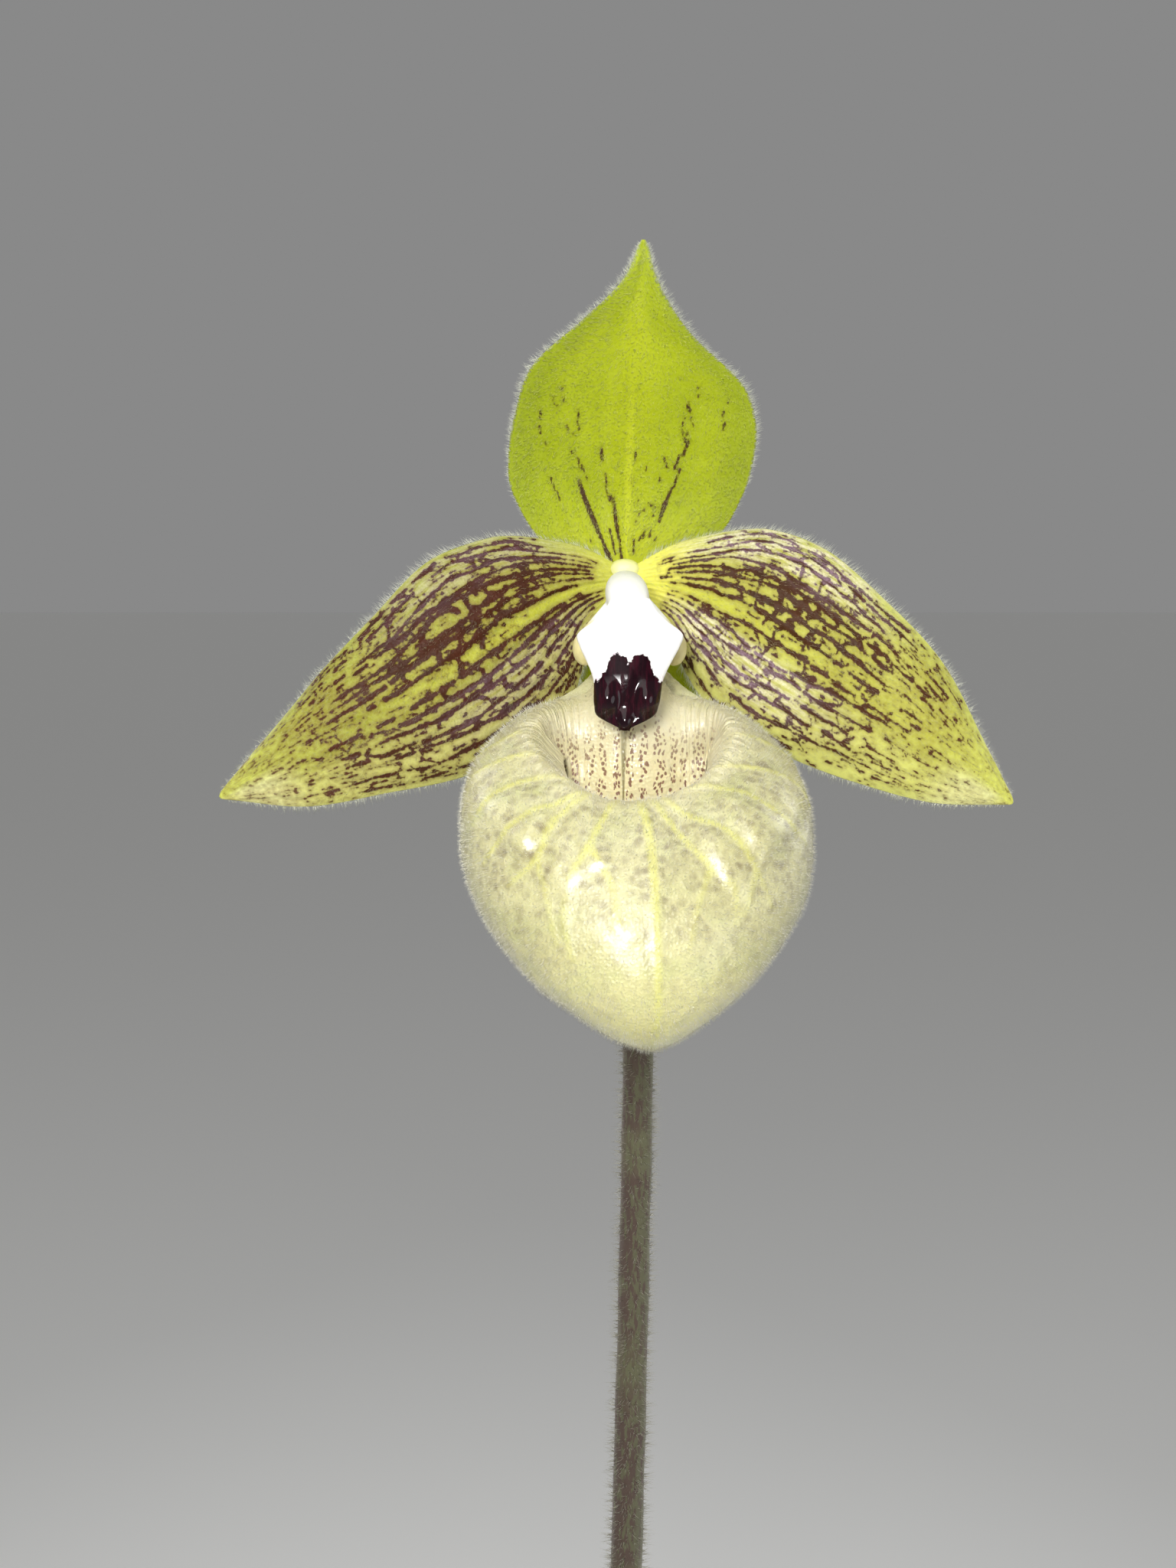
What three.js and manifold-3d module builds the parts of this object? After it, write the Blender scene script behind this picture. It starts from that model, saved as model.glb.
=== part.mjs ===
// A potted slipper orchid: a plastic nursery pot of bark, a fan of strap leaves and one tall
// hairy stalk that carries a single flower. Millimetres, +Z up, origin at the centre of the
// pot's underside. The flower faces -Y, and the leaves spread along X.
import * as THREE from 'three';
import { mergeVertices } from 'three/addons/utils/BufferGeometryUtils.js';
import Module from 'manifold-3d';

const wasm = await Module();
wasm.setup();

const gap = 0.3; // clearance between pieces that touch

// Driving dimensions
const pot = {
  height: 105,
  topRadius: 60,
  baseRadius: 43,
  wall: 1.6,
  floor: 2.4,
  rimHeight: 11,
  rimStep: 2.4,
  edge: 1.0,
  sides: 48,
  drainCount: 8,
  drainRadius: 4.5,
  drainCircle: 30,
  drainSides: 12,
};
const mix = {
  top: 91,
  well: 11.2, // radius of the plain hole that the leaf bases stand in
  wellFloor: 84,
  wellSides: 28,
  chipCount: 54,
  chipLong: [12, 21],
  chipWide: [8, 13],
  chipThick: [5, 8],
  chipLift: [-0.6, 1.6], // heights of the chips' centres against the top
  chipShake: 0.22, // how far a chip's corners stray, as a share
  chipTilt: 0.7,
  chipStray: 0.3, // how far a chip turns from its even place round the pot
  chipSeed: 11,
};
const goldenAngle = 2.39996;
const crown = {
  bottom: 76,
  top: 97,
  radius: 3.3,
  swell: [0.75, 1.1, 1, 0.9],
  rows: 4,
  sides: 10,
  rootRadius: 2.2,
  rootCount: 6,
  rootReach: [0, 12, 23, 30, 32],
  rootHeight: [82, 77, 60, 36, 12],
  rootTaper: 0.35,
  rootTwist: 0.5,
  rootRows: 9,
  rootSides: 6,
  clearance: 0.45, // between the roots and the channels that they lie in
};
const flowerCentre = [3, -24, 400];
const scapeEnd = [2.6, 27.5, -17]; // the stalk's top, from the flower's centre
const scape = {
  baseRadius: 2.2,
  topRadius: 1.8,
  flare: 0.5, // added to the radius at the very top
  x: [0, 1.0, 2.8, 4.6, flowerCentre[0] + scapeEnd[0]],
  y: [0, 1.6, 3.6, 4.6, flowerCentre[1] + scapeEnd[1]],
  bottom: crown.top + gap,
  top: flowerCentre[2] + scapeEnd[2],
  sides: 10,
  rows: 26,
};
const petalThickness = 0.8;
const petalBase = 0.3; // share of a petal's length by which it has left its narrow base
const petalColumns = 8;

// Small helpers
const { sin, cos, PI, exp, sqrt, abs, min, max, hypot } = Math;
const vec = (x, y, z) => new THREE.Vector3(x, y, z);
const lerp = THREE.MathUtils.lerp;
const degrees = THREE.MathUtils.degToRad;
const smooth = (low, high, x) => THREE.MathUtils.smoothstep(x, low, high);

// A repeatable run of numbers from 0 to 1.
function randomRun(seed) {
  let state = seed;
  return () => {
    state = (state * 16807) % 2147483647;
    return state / 2147483647;
  };
}

// A smooth curve through evenly spaced values, at t from 0 to 1.
function through(values, t) {
  const last = values.length - 1;
  const at = min(max(t, 0), 1) * last;
  const i = min(Math.floor(at), last - 1);
  const f = at - i;
  const p1 = values[i];
  const p2 = values[i + 1];
  const p0 = i > 0 ? values[i - 1] : 2 * p1 - p2;
  const p3 = i < last - 1 ? values[i + 2] : 2 * p2 - p1;
  const a = -p0 + 3 * p1 - 3 * p2 + p3;
  const b = 2 * p0 - 5 * p1 + 4 * p2 - p3;
  return 0.5 * (2 * p1 + (p2 - p0) * f + b * f * f + a * f * f * f);
}

function geometryOf(points, triangles) {
  const positions = new Float32Array(points.flatMap((p) => [p.x, p.y, p.z]));
  const geometry = new THREE.BufferGeometry();
  geometry.setAttribute('position', new THREE.BufferAttribute(positions, 3));
  geometry.setIndex(triangles.flat());
  return geometry;
}

// A closed skin over rings of points; the first and last rings are single points, the poles.
function skin(rings) {
  const points = rings.flat();
  const starts = rings.map((_, i) => rings.slice(0, i).flat().length);
  const triangles = [];
  for (let k = 0; k + 1 < rings.length; k++) {
    const a = starts[k];
    const b = starts[k + 1];
    const n = max(rings[k].length, rings[k + 1].length);
    for (let j = 0; j < n; j++) {
      const next = (j + 1) % n;
      if (rings[k].length === 1) triangles.push([a, b + next, b + j]);
      else if (rings[k + 1].length === 1) triangles.push([a + j, a + next, b]);
      else triangles.push([a + j, a + next, b + next], [a + j, b + next, b + j]);
    }
  }
  return geometryOf(points, triangles);
}

// A thin closed blade round the sheet point(s, q), with s from 0 to 1 along it and q from -1 to 1
// across it. Both faces are split into triangles alike.
function blade(rows, columns, point, thickness) {
  const step = 1e-3;
  const faces = [[], []];
  for (let i = 0; i <= rows; i++) {
    for (let j = 0; j <= columns; j++) {
      const s = i / rows;
      const q = (2 * j) / columns - 1;
      const s0 = max(s - step, 0);
      const s1 = min(s + step, 1);
      const q0 = max(q - step, -1);
      const q1 = min(q + step, 1);
      const along = point(s1, q).sub(point(s0, q));
      const across = point(s, q1).sub(point(s, q0));
      const out = across.cross(along).normalize().multiplyScalar(thickness(s, q) / 2);
      const middle = point(s, q);
      faces[0].push(middle.clone().add(out));
      faces[1].push(middle.clone().sub(out));
    }
  }
  const width = columns + 1;
  const back = faces[0].length;
  const triangles = [];
  const wall = (a, b) => triangles.push([a, b, b + back], [a, b + back, a + back]);
  for (let i = 0; i < rows; i++) {
    for (let j = 0; j < columns; j++) {
      const a = i * width + j;
      const b = a + 1;
      const c = a + width;
      const d = c + 1;
      triangles.push([a, b, d], [a, d, c]);
      triangles.push([a + back, d + back, b + back], [a + back, c + back, d + back]);
    }
  }
  for (let j = 0; j < columns; j++) {
    wall(j + 1, j);
    wall(rows * width + j, rows * width + j + 1);
  }
  for (let i = 0; i < rows; i++) {
    wall(i * width, (i + 1) * width);
    wall((i + 1) * width + columns, i * width + columns);
  }
  return geometryOf(faces.flat(), triangles);
}

// A tube round path(s) with radius(s, angle); "up" is a direction that the path never runs along.
function tube(rows, sides, path, radius, up = vec(1, 0, 0)) {
  const rings = [[path(0)]];
  for (let i = 0; i <= rows; i++) {
    const s = i / rows;
    const along = path(min(s + 1e-3, 1)).sub(path(max(s - 1e-3, 0))).normalize();
    const right = up.clone().cross(along).normalize();
    const front = along.clone().cross(right);
    const ring = [];
    for (let j = 0; j < sides; j++) {
      const angle = (2 * PI * j) / sides;
      const r = radius(s, angle);
      const at = path(s).addScaledVector(right, r * cos(angle));
      ring.push(at.addScaledVector(front, r * sin(angle)));
    }
    rings.push(ring);
  }
  rings.push([path(1)]);
  return skin(rings);
}

function solid(geometry) {
  const bare = geometry.clone();
  for (const name of ['normal', 'uv']) bare.deleteAttribute(name);
  const merged = mergeVertices(bare, 1e-4);
  const made = new wasm.Manifold(
    new wasm.Mesh({
      numProp: 3,
      vertProperties: merged.attributes.position.array,
      triVerts: new Uint32Array(merged.index.array),
    }),
  );
  return made;
}

// The largest body of a solid, with the hollows that fusing sealed filled in.
function wholeBody(manifold) {
  const pieces = manifold.decompose();
  return pieces.reduce((best, piece) => (piece.volume() > best.volume() ? piece : best));
}

function geometryFrom(manifold) {
  const mesh = manifold.getMesh();
  const geometry = new THREE.BufferGeometry();
  geometry.setAttribute('position', new THREE.BufferAttribute(mesh.vertProperties, 3));
  geometry.setIndex(new THREE.BufferAttribute(mesh.triVerts, 1));
  return geometry;
}

const finish = (color, roughness) =>
  new THREE.MeshStandardMaterial({ color, roughness, metalness: 0 });
const finishes = {
  potPlastic: finish(0x17181a, 0.55),
  bark: finish(0x5c3d28, 0.9),
  root: finish(0x8a6a45, 0.9),
  leaf: finish(0x2f5a2c, 0.5),
  stalk: finish(0x6d6a45, 0.8),
  bract: finish(0x8a9a4c, 0.7),
  sepal: finish(0xa4bd22, 0.6),
  petal: finish(0xa7a838, 0.6),
  lip: finish(0xd9d8a4, 0.35),
  column: finish(0xf4f3e6, 0.5),
  staminode: finish(0xf7f4f2, 0.3),
};

const plant = new THREE.Group();

function add(name, geometry, material, parent = plant) {
  const mesh = new THREE.Mesh(geometry, material);
  mesh.name = name;
  parent.add(mesh);
  return mesh;
}

// The pot: a tapered wall with a stepped rim band and drain holes in its floor
function potRadius(z) {
  return lerp(pot.baseRadius, pot.topRadius - pot.rimStep, z / (pot.height - pot.rimHeight));
}

function potGeometry() {
  const bandFoot = pot.height - pot.rimHeight;
  const profile = [
    [0, 0],
    [pot.baseRadius - pot.edge, 0],
    [potRadius(pot.edge), pot.edge],
    [potRadius(bandFoot), bandFoot],
    [pot.topRadius - pot.edge / 2, bandFoot + pot.edge],
    [pot.topRadius, pot.height - pot.edge],
    [pot.topRadius - pot.edge, pot.height],
    [pot.topRadius - pot.wall - pot.edge, pot.height],
    [pot.topRadius - pot.wall - pot.edge / 2 - 1, bandFoot + pot.edge],
    [potRadius(bandFoot) - pot.wall, bandFoot - pot.edge],
    [potRadius(pot.floor + pot.edge) - pot.wall, pot.floor + pot.edge],
    [potRadius(pot.floor) - pot.wall - pot.edge, pot.floor],
    [0, pot.floor],
  ].map(([r, z]) => new THREE.Vector2(r, z));
  let body = solid(upright(new THREE.LatheGeometry(profile, pot.sides)));
  for (let i = 0; i < pot.drainCount; i++) {
    const angle = (2 * PI * (i + 0.5)) / pot.drainCount;
    const { drainRadius, drainSides } = pot;
    const drill = upright(
      new THREE.CylinderGeometry(drainRadius, drainRadius, 4 * pot.floor, drainSides),
    );
    drill.translate(pot.drainCircle * cos(angle), pot.drainCircle * sin(angle), 0);
    body = body.subtract(solid(drill));
  }
  return geometryFrom(body);
}

// Turns a shape made round the Y axis so that it stands round the Z axis.
function upright(geometry) {
  return geometry.rotateX(PI / 2);
}

// The crown: the short stem that leaves and roots grow from
const rootAngle = (index) => (2 * PI * (index + 0.3 * sin(5 * index))) / crown.rootCount + 0.4;

// A root's middle line; no two roots end at the same reach, depth or turn.
function rootPath(index, s) {
  const reach = through([...crown.rootReach.slice(0, -1), crown.rootReach.at(-1) - index], s);
  const end = crown.rootHeight.at(-1) + 3 * index;
  const z = through([...crown.rootHeight.slice(0, -1), end], s);
  const turn = rootAngle(index) + crown.rootTwist * s * sin(3 * index + 1);
  return vec(reach * cos(turn), reach * sin(turn), z);
}

function crownSolid(extra) {
  const { radius } = crown;
  const axis = (s) => vec(0, 0, lerp(crown.bottom - extra, crown.top + extra, s));
  const girth = (s) => radius * through(crown.swell, s) + extra;
  const core = tube(crown.rows, crown.sides, axis, girth);
  let body = solid(core);
  for (let i = 0; i < crown.rootCount; i++) {
    const taper = (s) => crown.rootRadius * (1 - crown.rootTaper * s ** 3) + extra;
    const sideways = vec(-sin(rootAngle(i)), cos(rootAngle(i)), 0);
    const path = (s) => rootPath(i, s).add(vec(0, 0, -extra * s));
    const root = tube(crown.rootRows, crown.rootSides, path, taper, sideways);
    body = body.add(solid(root));
  }
  return body;
}

// The bark: a plug that fills the pot, with chips over its top
function chipGeometry(random) {
  const between = ([low, high]) => lerp(low, high, random());
  const chip = new THREE.BoxGeometry(
    between(mix.chipLong),
    between(mix.chipWide),
    between(mix.chipThick),
  );
  chip.deleteAttribute('normal');
  chip.deleteAttribute('uv');
  const corners = mergeVertices(chip, 1e-4);
  const position = corners.attributes.position;
  const stray = () => 1 + mix.chipShake * (random() - 0.5) * 2;
  for (let i = 0; i < position.count; i++) {
    const grow = stray();
    const y = position.getY(i) * stray();
    position.setXYZ(i, position.getX(i) * grow, y, position.getZ(i) * grow);
  }
  corners.rotateX((random() - 0.5) * mix.chipTilt);
  corners.rotateY((random() - 0.5) * mix.chipTilt);
  corners.rotateZ(random() * 2 * PI);
  return corners;
}

function mixGeometry() {
  const innerRadius = (z) => potRadius(z) - pot.wall - gap;
  const bandFoot = pot.height - pot.rimHeight;
  const low = pot.floor + gap;
  const profile = [
    [0, low],
    [innerRadius(low) - 2 * pot.edge, low],
    [innerRadius(low + 2 * pot.edge), low + 2 * pot.edge],
    [innerRadius(min(mix.top, bandFoot) - 2), mix.top - 2],
    [innerRadius(mix.top) - 2, mix.top],
    [0, mix.top],
  ].map(([r, z]) => new THREE.Vector2(r, z));
  let body = solid(upright(new THREE.LatheGeometry(profile, pot.sides)));
  const random = randomRun(mix.chipSeed);
  const reach = innerRadius(mix.top) - 1;
  for (let i = 0; i < mix.chipCount; i++) {
    const chip = chipGeometry(random);
    chip.computeBoundingSphere();
    const size = chip.boundingSphere.radius;
    // evenly spread over the ring between the well and the wall
    const share = (i + 0.5) / mix.chipCount;
    const inner = mix.well + size;
    const outer = reach - size;
    const r = sqrt(lerp(inner * inner, outer * outer, share));
    const angle = i * goldenAngle + mix.chipStray * random();
    const lift = lerp(mix.chipLift[0], mix.chipLift[1], random());
    chip.translate(r * cos(angle), r * sin(angle), mix.top + lift);
    body = body.add(solid(chip));
  }
  const wellHeight = 40;
  const well = upright(
    new THREE.CylinderGeometry(mix.well, mix.well, wellHeight, mix.wellSides),
  ).translate(0, 0, mix.wellFloor + wellHeight / 2);
  const open = wholeBody(body).subtract(solid(well)).subtract(crownSolid(crown.clearance));
  return geometryFrom(wholeBody(open));
}

// The leaves: two ranks of strap leaves whose folded bases nest round the crown
const leaves = [
  { turn: 184, long: 176, half: 18.5, nest: 9.4, foot: 85, rise: [88, 52, 24, 6, -12, -26] },
  { turn: 5, long: 168, half: 18, nest: 9.2, foot: 85.5, rise: [88, 56, 30, 12, -6, -20] },
  { turn: 191, long: 158, half: 18, nest: 7.6, foot: 87, rise: [88, 70, 48, 28, 10, -4] },
  { turn: -4, long: 150, half: 17.5, nest: 7.4, foot: 87.5, rise: [88, 73, 54, 36, 18, 6] },
  { turn: 180, long: 118, half: 15.5, nest: 5.8, foot: 89, rise: [89, 82, 70, 56, 44, 36] },
  { turn: 2, long: 92, half: 13.5, nest: 5.6, foot: 90, rise: [89, 84, 76, 66, 56, 50] },
];
const leafShape = {
  wrap: 1.33, // half angle of the base round the crown
  openCurve: 1 / 62, // curvature across the open blade
  openAt: 0.42, // share of the length by which it has opened
  widen: [0.05, 0.5], // where it widens from the wrapped base to the full blade
  narrow: 0.62, // where the taper to the tip begins
  tipPower: 2.2,
  tipRound: 0.75,
  channel: 0.13, // steepness of the groove over the midrib
  grooveRound: 0.15,
  base: 1.3, // thickness at the wrapped base, over the midrib and at the margin
  middle: 1.9,
  margin: 0.9,
  tipThin: 0.6,
  drift: 5, // degrees that the blade bends sideways
  rows: 18,
  columns: 6,
};

// The middle line of a leaf, as distances out and up from the crown, worked out in short steps.
function leafLine(leaf) {
  const steps = 60;
  const line = [[leaf.nest, leaf.foot]];
  for (let i = 0; i < steps; i++) {
    const angle = degrees(through(leaf.rise, (i + 0.5) / steps));
    const [out, up] = line[i];
    const step = leaf.long / steps;
    line.push([out + step * cos(angle), up + step * sin(angle)]);
  }
  return line;
}

function leafGeometry(leaf, index) {
  const line = leafLine(leaf);
  const outs = line.map((p) => p[0]);
  const ups = line.map((p) => p[1]);
  const point = (s, q) => {
    const angle = degrees(through(leaf.rise, s));
    const sway = (index % 2 ? 1 : -1) * leafShape.drift * s * s;
    const turn = degrees(leaf.turn + sway);
    const baseHalf = leafShape.wrap * leaf.nest;
    const widen = smooth(leafShape.widen[0], leafShape.widen[1], s);
    const tip = max((s - leafShape.narrow) / (1 - leafShape.narrow), 0);
    const taper = max(1 - tip ** leafShape.tipPower, 0.006) ** leafShape.tipRound;
    const half = lerp(baseHalf, leaf.half, widen) * taper;
    const curve = lerp(1 / leaf.nest, leafShape.openCurve, smooth(0, leafShape.openAt, s));
    const bend = curve * half * q;
    const side = sin(bend) / curve;
    const valley = hypot(q, leafShape.grooveRound) - leafShape.grooveRound;
    const groove = leafShape.channel * smooth(0.1, 0.4, s) * half * valley;
    const lift = (1 - cos(bend)) / curve + groove;
    const out = through(outs, s) - lift * sin(angle);
    const up = through(ups, s) + lift * cos(angle);
    return vec(out * cos(turn) - side * sin(turn), out * sin(turn) + side * cos(turn), up);
  };
  const thickness = (s, q) => {
    const thin = lerp(leafShape.base, leafShape.middle, smooth(0, 0.3, s));
    const tipShare = lerp(1, leafShape.tipThin, smooth(0.7, 1, s));
    return lerp(thin, leafShape.margin, abs(q) ** 1.5) * tipShare;
  };
  return blade(leafShape.rows, leafShape.columns, point, thickness);
}

// The flower stalk: nearly straight, leaning a little to +X
function scapePath(s) {
  return vec(through(scape.x, s), through(scape.y, s), lerp(scape.bottom, scape.top, s));
}

function scapeGeometry() {
  const flare = (s) => scape.flare * smooth(0.97, 1, s);
  const radius = (s) => lerp(scape.baseRadius, scape.topRadius, s) + flare(s);
  return tube(scape.rows, scape.sides, scapePath, radius);
}

// The flower, in its own frame: origin where its parts meet, facing -Y
const flower = new THREE.Group();
flower.position.set(...flowerCentre);
plant.add(flower);

const ovary = {
  radius: 2.1,
  swell: [0.8, 0.95, 1.2, 1.25, 1.05],
  x: [scapeEnd[0], 2.3, 1.5, 0.6, 0],
  y: [scapeEnd[1], 26.6, 19.6, 11, 3.3],
  z: [scapeEnd[2] + 1.5 * gap, -7.6, -0.9, 0.3, -0.7],
  ribs: 6,
  ribDepth: 0.32,
  rows: 12,
  sides: 18,
};

function ovaryPath(s) {
  return vec(through(ovary.x, s), through(ovary.y, s), through(ovary.z, s));
}

function ovaryGeometry() {
  const radius = (s, angle) => {
    const rib = ovary.ribDepth * cos(ovary.ribs * angle) * sin(PI * min(s + 0.08, 1));
    return through(ovary.swell, s) * ovary.radius + rib;
  };
  return tube(ovary.rows, ovary.sides, ovaryPath, radius);
}

const bract = {
  long: 19,
  half: 7.2,
  width: [0.62, 0.95, 1, 0.86, 0.56, 0.03], // shares of the half width, foot to tip
  fold: 3.5, // radius of its fold at the foot, and how far it stands behind the ovary
  tipFold: 5.5,
  lean: 2.6,
  drop: 1.5, // how far it starts below the stalk's top
  beside: [0.02, 0.42], // the stretch of the ovary that it stands behind
  thickness: 0.7,
  rows: 9,
  columns: 6,
};

// A folded sheath that stands behind the foot of the ovary.
function bractGeometry() {
  const point = (s, q) => {
    const half = bract.half * through(bract.width, s);
    const curve = 1 / lerp(bract.fold, bract.tipFold, s);
    const bend = curve * half * q;
    const axis = ovaryPath(lerp(bract.beside[0], bract.beside[1], s));
    const away = bract.fold + bract.lean * s * s;
    return vec(
      axis.x + sin(bend) / curve,
      axis.y + away - (1 - cos(bend)) / curve,
      scapeEnd[2] - bract.drop + bract.long * s,
    );
  };
  return blade(bract.rows, bract.columns, point, () => bract.thickness);
}

// A sepal or petal: a middle line, a reach to each side of it and a depth, all at even stations.
function petalPoint(shape, s, q) {
  const step = 0.01;
  const before = max(s - step, 0);
  const after = min(s + step, 1);
  const x = through(shape.x, s);
  const z = through(shape.z, s);
  const dx = through(shape.x, after) - through(shape.x, before);
  const dz = through(shape.z, after) - through(shape.z, before);
  const size = hypot(dx, dz);
  const clear = smooth(0, petalBase, s);
  const reach = q * through(q < 0 ? shape.left : shape.right, s);
  const back = (q < 0 ? shape.backLeft : shape.backRight) * clear;
  const y = through(shape.y, s) + back * q * q * (1 - s ** 4);
  const wave = shape.wave * sin(shape.waves * PI * s + shape.phase) * q * q * q * sin(PI * s);
  const sag = shape.sag * q * q * (1 - clear);
  return vec(x + (reach * dz) / size, y + wave, z - (reach * dx) / size - sag);
}

const shapes = {
  // left and right are as seen from the front, in front of the sheet's own middle line
  dorsal_sepal: {
    x: [0, 0, 0.1, 0.2, 0.35, 0.5, 0.8, 1.1, 1.35],
    z: [2.2, 4.4, 7.4, 10.9, 14.9, 19, 23.4, 27.6, 31.4],
    y: [2.7, 3.9, 4.0, 3.1, 1.6, -0.2, -1.8, -3.2, -4.4],
    left: [4.2, 9.6, 11.8, 12.3, 11.7, 10.1, 5.9, 1.9, 0.2],
    right: [4.2, 9.4, 11.4, 12.4, 12.4, 10.6, 5.4, 1.9, 0.2],
    backLeft: -2.2,
    backRight: -2.2,
    sag: 2.6,
    wave: 0.3,
    waves: 3,
    phase: 1,
    rows: 16,
  },
  synsepal: {
    x: [0, 0, 0.1, 0.2, 0.4, 0.6, 0.8],
    z: [-3.3, -8.6, -14.6, -20.4, -26, -31.4, -36.6],
    y: [1.9, 3.6, 4.6, 5.0, 5.0, 4.6, 3.8],
    left: [1.6, 7.8, 10.4, 10.8, 9.2, 5.6, 0.2],
    right: [1.6, 7.8, 10.4, 10.8, 9.2, 5.6, 0.2],
    backLeft: 1.2,
    backRight: 1.2,
    sag: 0,
    wave: 0.2,
    waves: 3,
    phase: 0,
    rows: 12,
  },
  petal_left: {
    x: [-2.65, -5.3, -9.2, -13.9, -20.2, -28.0, -35, -40.8],
    z: [-1.4, -2.2, -4.2, -7.6, -11.9, -16.2, -19.6, -22.8],
    y: [1.1, 0.3, -1.1, -2.6, -4.2, -5.2, -5.2, -4.2],
    left: [1.9, 4.9, 8.2, 10.2, 10.0, 7.2, 4.7, 0.25],
    right: [1.8, 5.1, 8.7, 10.4, 9.1, 6.4, 2.9, 0.25],
    backLeft: 1.9,
    backRight: 2.9,
    sag: 0,
    wave: 0.5,
    waves: 2.6,
    phase: 0.6,
    rows: 20,
  },
  petal_right: {
    x: [2.65, 5.9, 10.0, 14.6, 20.3, 27.0, 33.2, 38.4],
    z: [-1.4, -2.1, -3.9, -6.6, -10.2, -14.7, -19.4, -23.4],
    y: [1.1, 0.3, -1.1, -2.6, -4.2, -5.2, -5.2, -4.2],
    left: [1.8, 5.4, 8.9, 10.1, 9.0, 7.0, 3.4, 0.25],
    right: [1.9, 4.9, 8.2, 9.9, 9.8, 8.1, 5.0, 0.25],
    backLeft: 2.9,
    backRight: 1.9,
    sag: 0,
    wave: 0.5,
    waves: 2.6,
    phase: 2.2,
    rows: 20,
  },
};

// The lip is an inflated pouch. Each level is a ring round it, from the toe up to the crest of its
// shoulders and then down into the mouth. A level gives its half width, the middle and swing of
// its distance forward, the middle of its height with a swing from front to back and one from
// side to side, how far its back bulges forward, and how high its claw rises at the back.
const lip = {
  thickness: 0.9,
  half: [0, 4.4, 10.4, 14.95, 16.6, 15.9, 13.0, 9.8, 7.8],
  forward: [20.6, 21.2, 19.4, 16.0, 13.7, 12.9, 12.0, 11.6, 11.0],
  depth: [0, 5.6, 10.8, 13.9, 14.4, 13.1, 10.9, 8.2, 5.9],
  z: [-44.6, -42.0, -37.6, -31.9, -26.2, -20.6, -17.4, -16.2, -18.7],
  tilt: [0, 0, 0, -0.6, -2.2, -4.4, -5.2, -4.9, -4.7],
  bow: [0, 0, 0, 0, 0, -0.2, -0.4, -1.1, -0.7],
  bulge: [0, 0.4, 2.6, 5.6, 7.6, 8.0, 4.9, 0.8, -0.2],
  claw: [0, 0, 0, 0, 0, 0.8, 3.5, 7.4, 6.4],
  skew: [1.8, 1.25, 0.95, 0.75, 0.6, 0.4, 0.2, 0, 0],
  bulgeSpread: 0.5,
  clawSpread: 0.12,
  pinch: 0.3,
  pinchFrom: [0.7, 0.88], // the levels over which the back is pinched in
  rows: 20,
  sides: 26,
};

function lipPoint(v, angle) {
  const fromBack = abs(abs(angle - PI) > PI ? angle - 3 * PI : angle - PI);
  const rear = exp(-(fromBack ** 2) / lip.bulgeSpread);
  const narrow = exp(-(fromBack ** 2) / lip.clawSpread);
  const c = cos(angle);
  const pinch = lip.pinch * rear * smooth(lip.pinchFrom[0], lip.pinchFrom[1], v);
  const width = through(lip.half, v) * (1 - pinch);
  const forward =
    through(lip.forward, v) + through(lip.depth, v) * c + through(lip.bulge, v) * rear;
  const swing = through(lip.tilt, v) * c + through(lip.bow, v) * cos(2 * angle);
  const z = through(lip.z, v) + swing + through(lip.claw, v) * narrow;
  return vec(through(lip.skew, v) + width * sin(angle), -forward, z);
}

function lipGeometry() {
  const rings = [];
  const inner = [];
  for (let i = 0; i <= lip.rows; i++) {
    const v = i / lip.rows;
    const ring = [];
    const inside = [];
    for (let j = 0; j < lip.sides; j++) {
      const angle = (2 * PI * j) / lip.sides;
      const here = lipPoint(v, angle);
      const step = 1e-3;
      const along = lipPoint(min(v + step, 1), angle).sub(lipPoint(max(v - step, 0), angle));
      const round = lipPoint(v, angle + step).sub(lipPoint(v, angle - step));
      const out = along.cross(round).normalize();
      ring.push(here);
      inside.push(here.clone().addScaledVector(out, lip.thickness));
    }
    if (i > 0) {
      rings.push(ring);
      inner.unshift(inside);
    }
  }
  const toe = lipPoint(0, 0);
  const toeInside = toe.clone().add(vec(0, 0, lip.thickness * 1.6));
  return skin([[toe], ...rings, ...inner, [toeInside]]);
}

// The column, with its two anthers and the stigma under it, and the shield in front
const column = {
  y: [2.7, -0.6, -4.2, -7.4, -9.6],
  z: [-0.7, -1.2, -1.9, -3.0, -4.3],
  radius: [2.1, 2.1, 1.8, 1.8, 1.8],
  rows: 8,
  sides: 12,
  stigma: { at: [0, -8.0, -6.7], size: [2.4, 1.0, 2.9], tilt: -0.35 },
  arm: { from: [0.8, -6.4, -3.2], to: [4.1, -8.0, -7.0], radius: 1.0, rows: 3, sides: 7 },
  anther: { at: [4.3, -8.3, -7.9], size: [1.25, 1.1, 1.7] },
};

function columnGeometry() {
  const { stigma, arm, anther } = column;
  const path = (s) => vec(0, through(column.y, s), through(column.z, s));
  let body = solid(tube(column.rows, column.sides, path, (s) => through(column.radius, s)));
  const pad = new THREE.SphereGeometry(1, 12, 8).scale(...stigma.size).rotateX(stigma.tilt);
  body = body.add(solid(pad.translate(...stigma.at)));
  for (const side of [-1, 1]) {
    const armPath = (s) => {
      const [x, y, z] = arm.from.map((from, i) => lerp(from, arm.to[i], s));
      return vec(side * x, y, z);
    };
    const armTube = tube(arm.rows, arm.sides, armPath, () => arm.radius, vec(0, 1, 0));
    const [x, y, z] = anther.at;
    const pollen = new THREE.SphereGeometry(1, 10, 7).scale(...anther.size);
    body = body.add(solid(armTube)).add(solid(pollen.translate(side * x, y, z)));
  }
  return geometryFrom(body);
}

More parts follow.
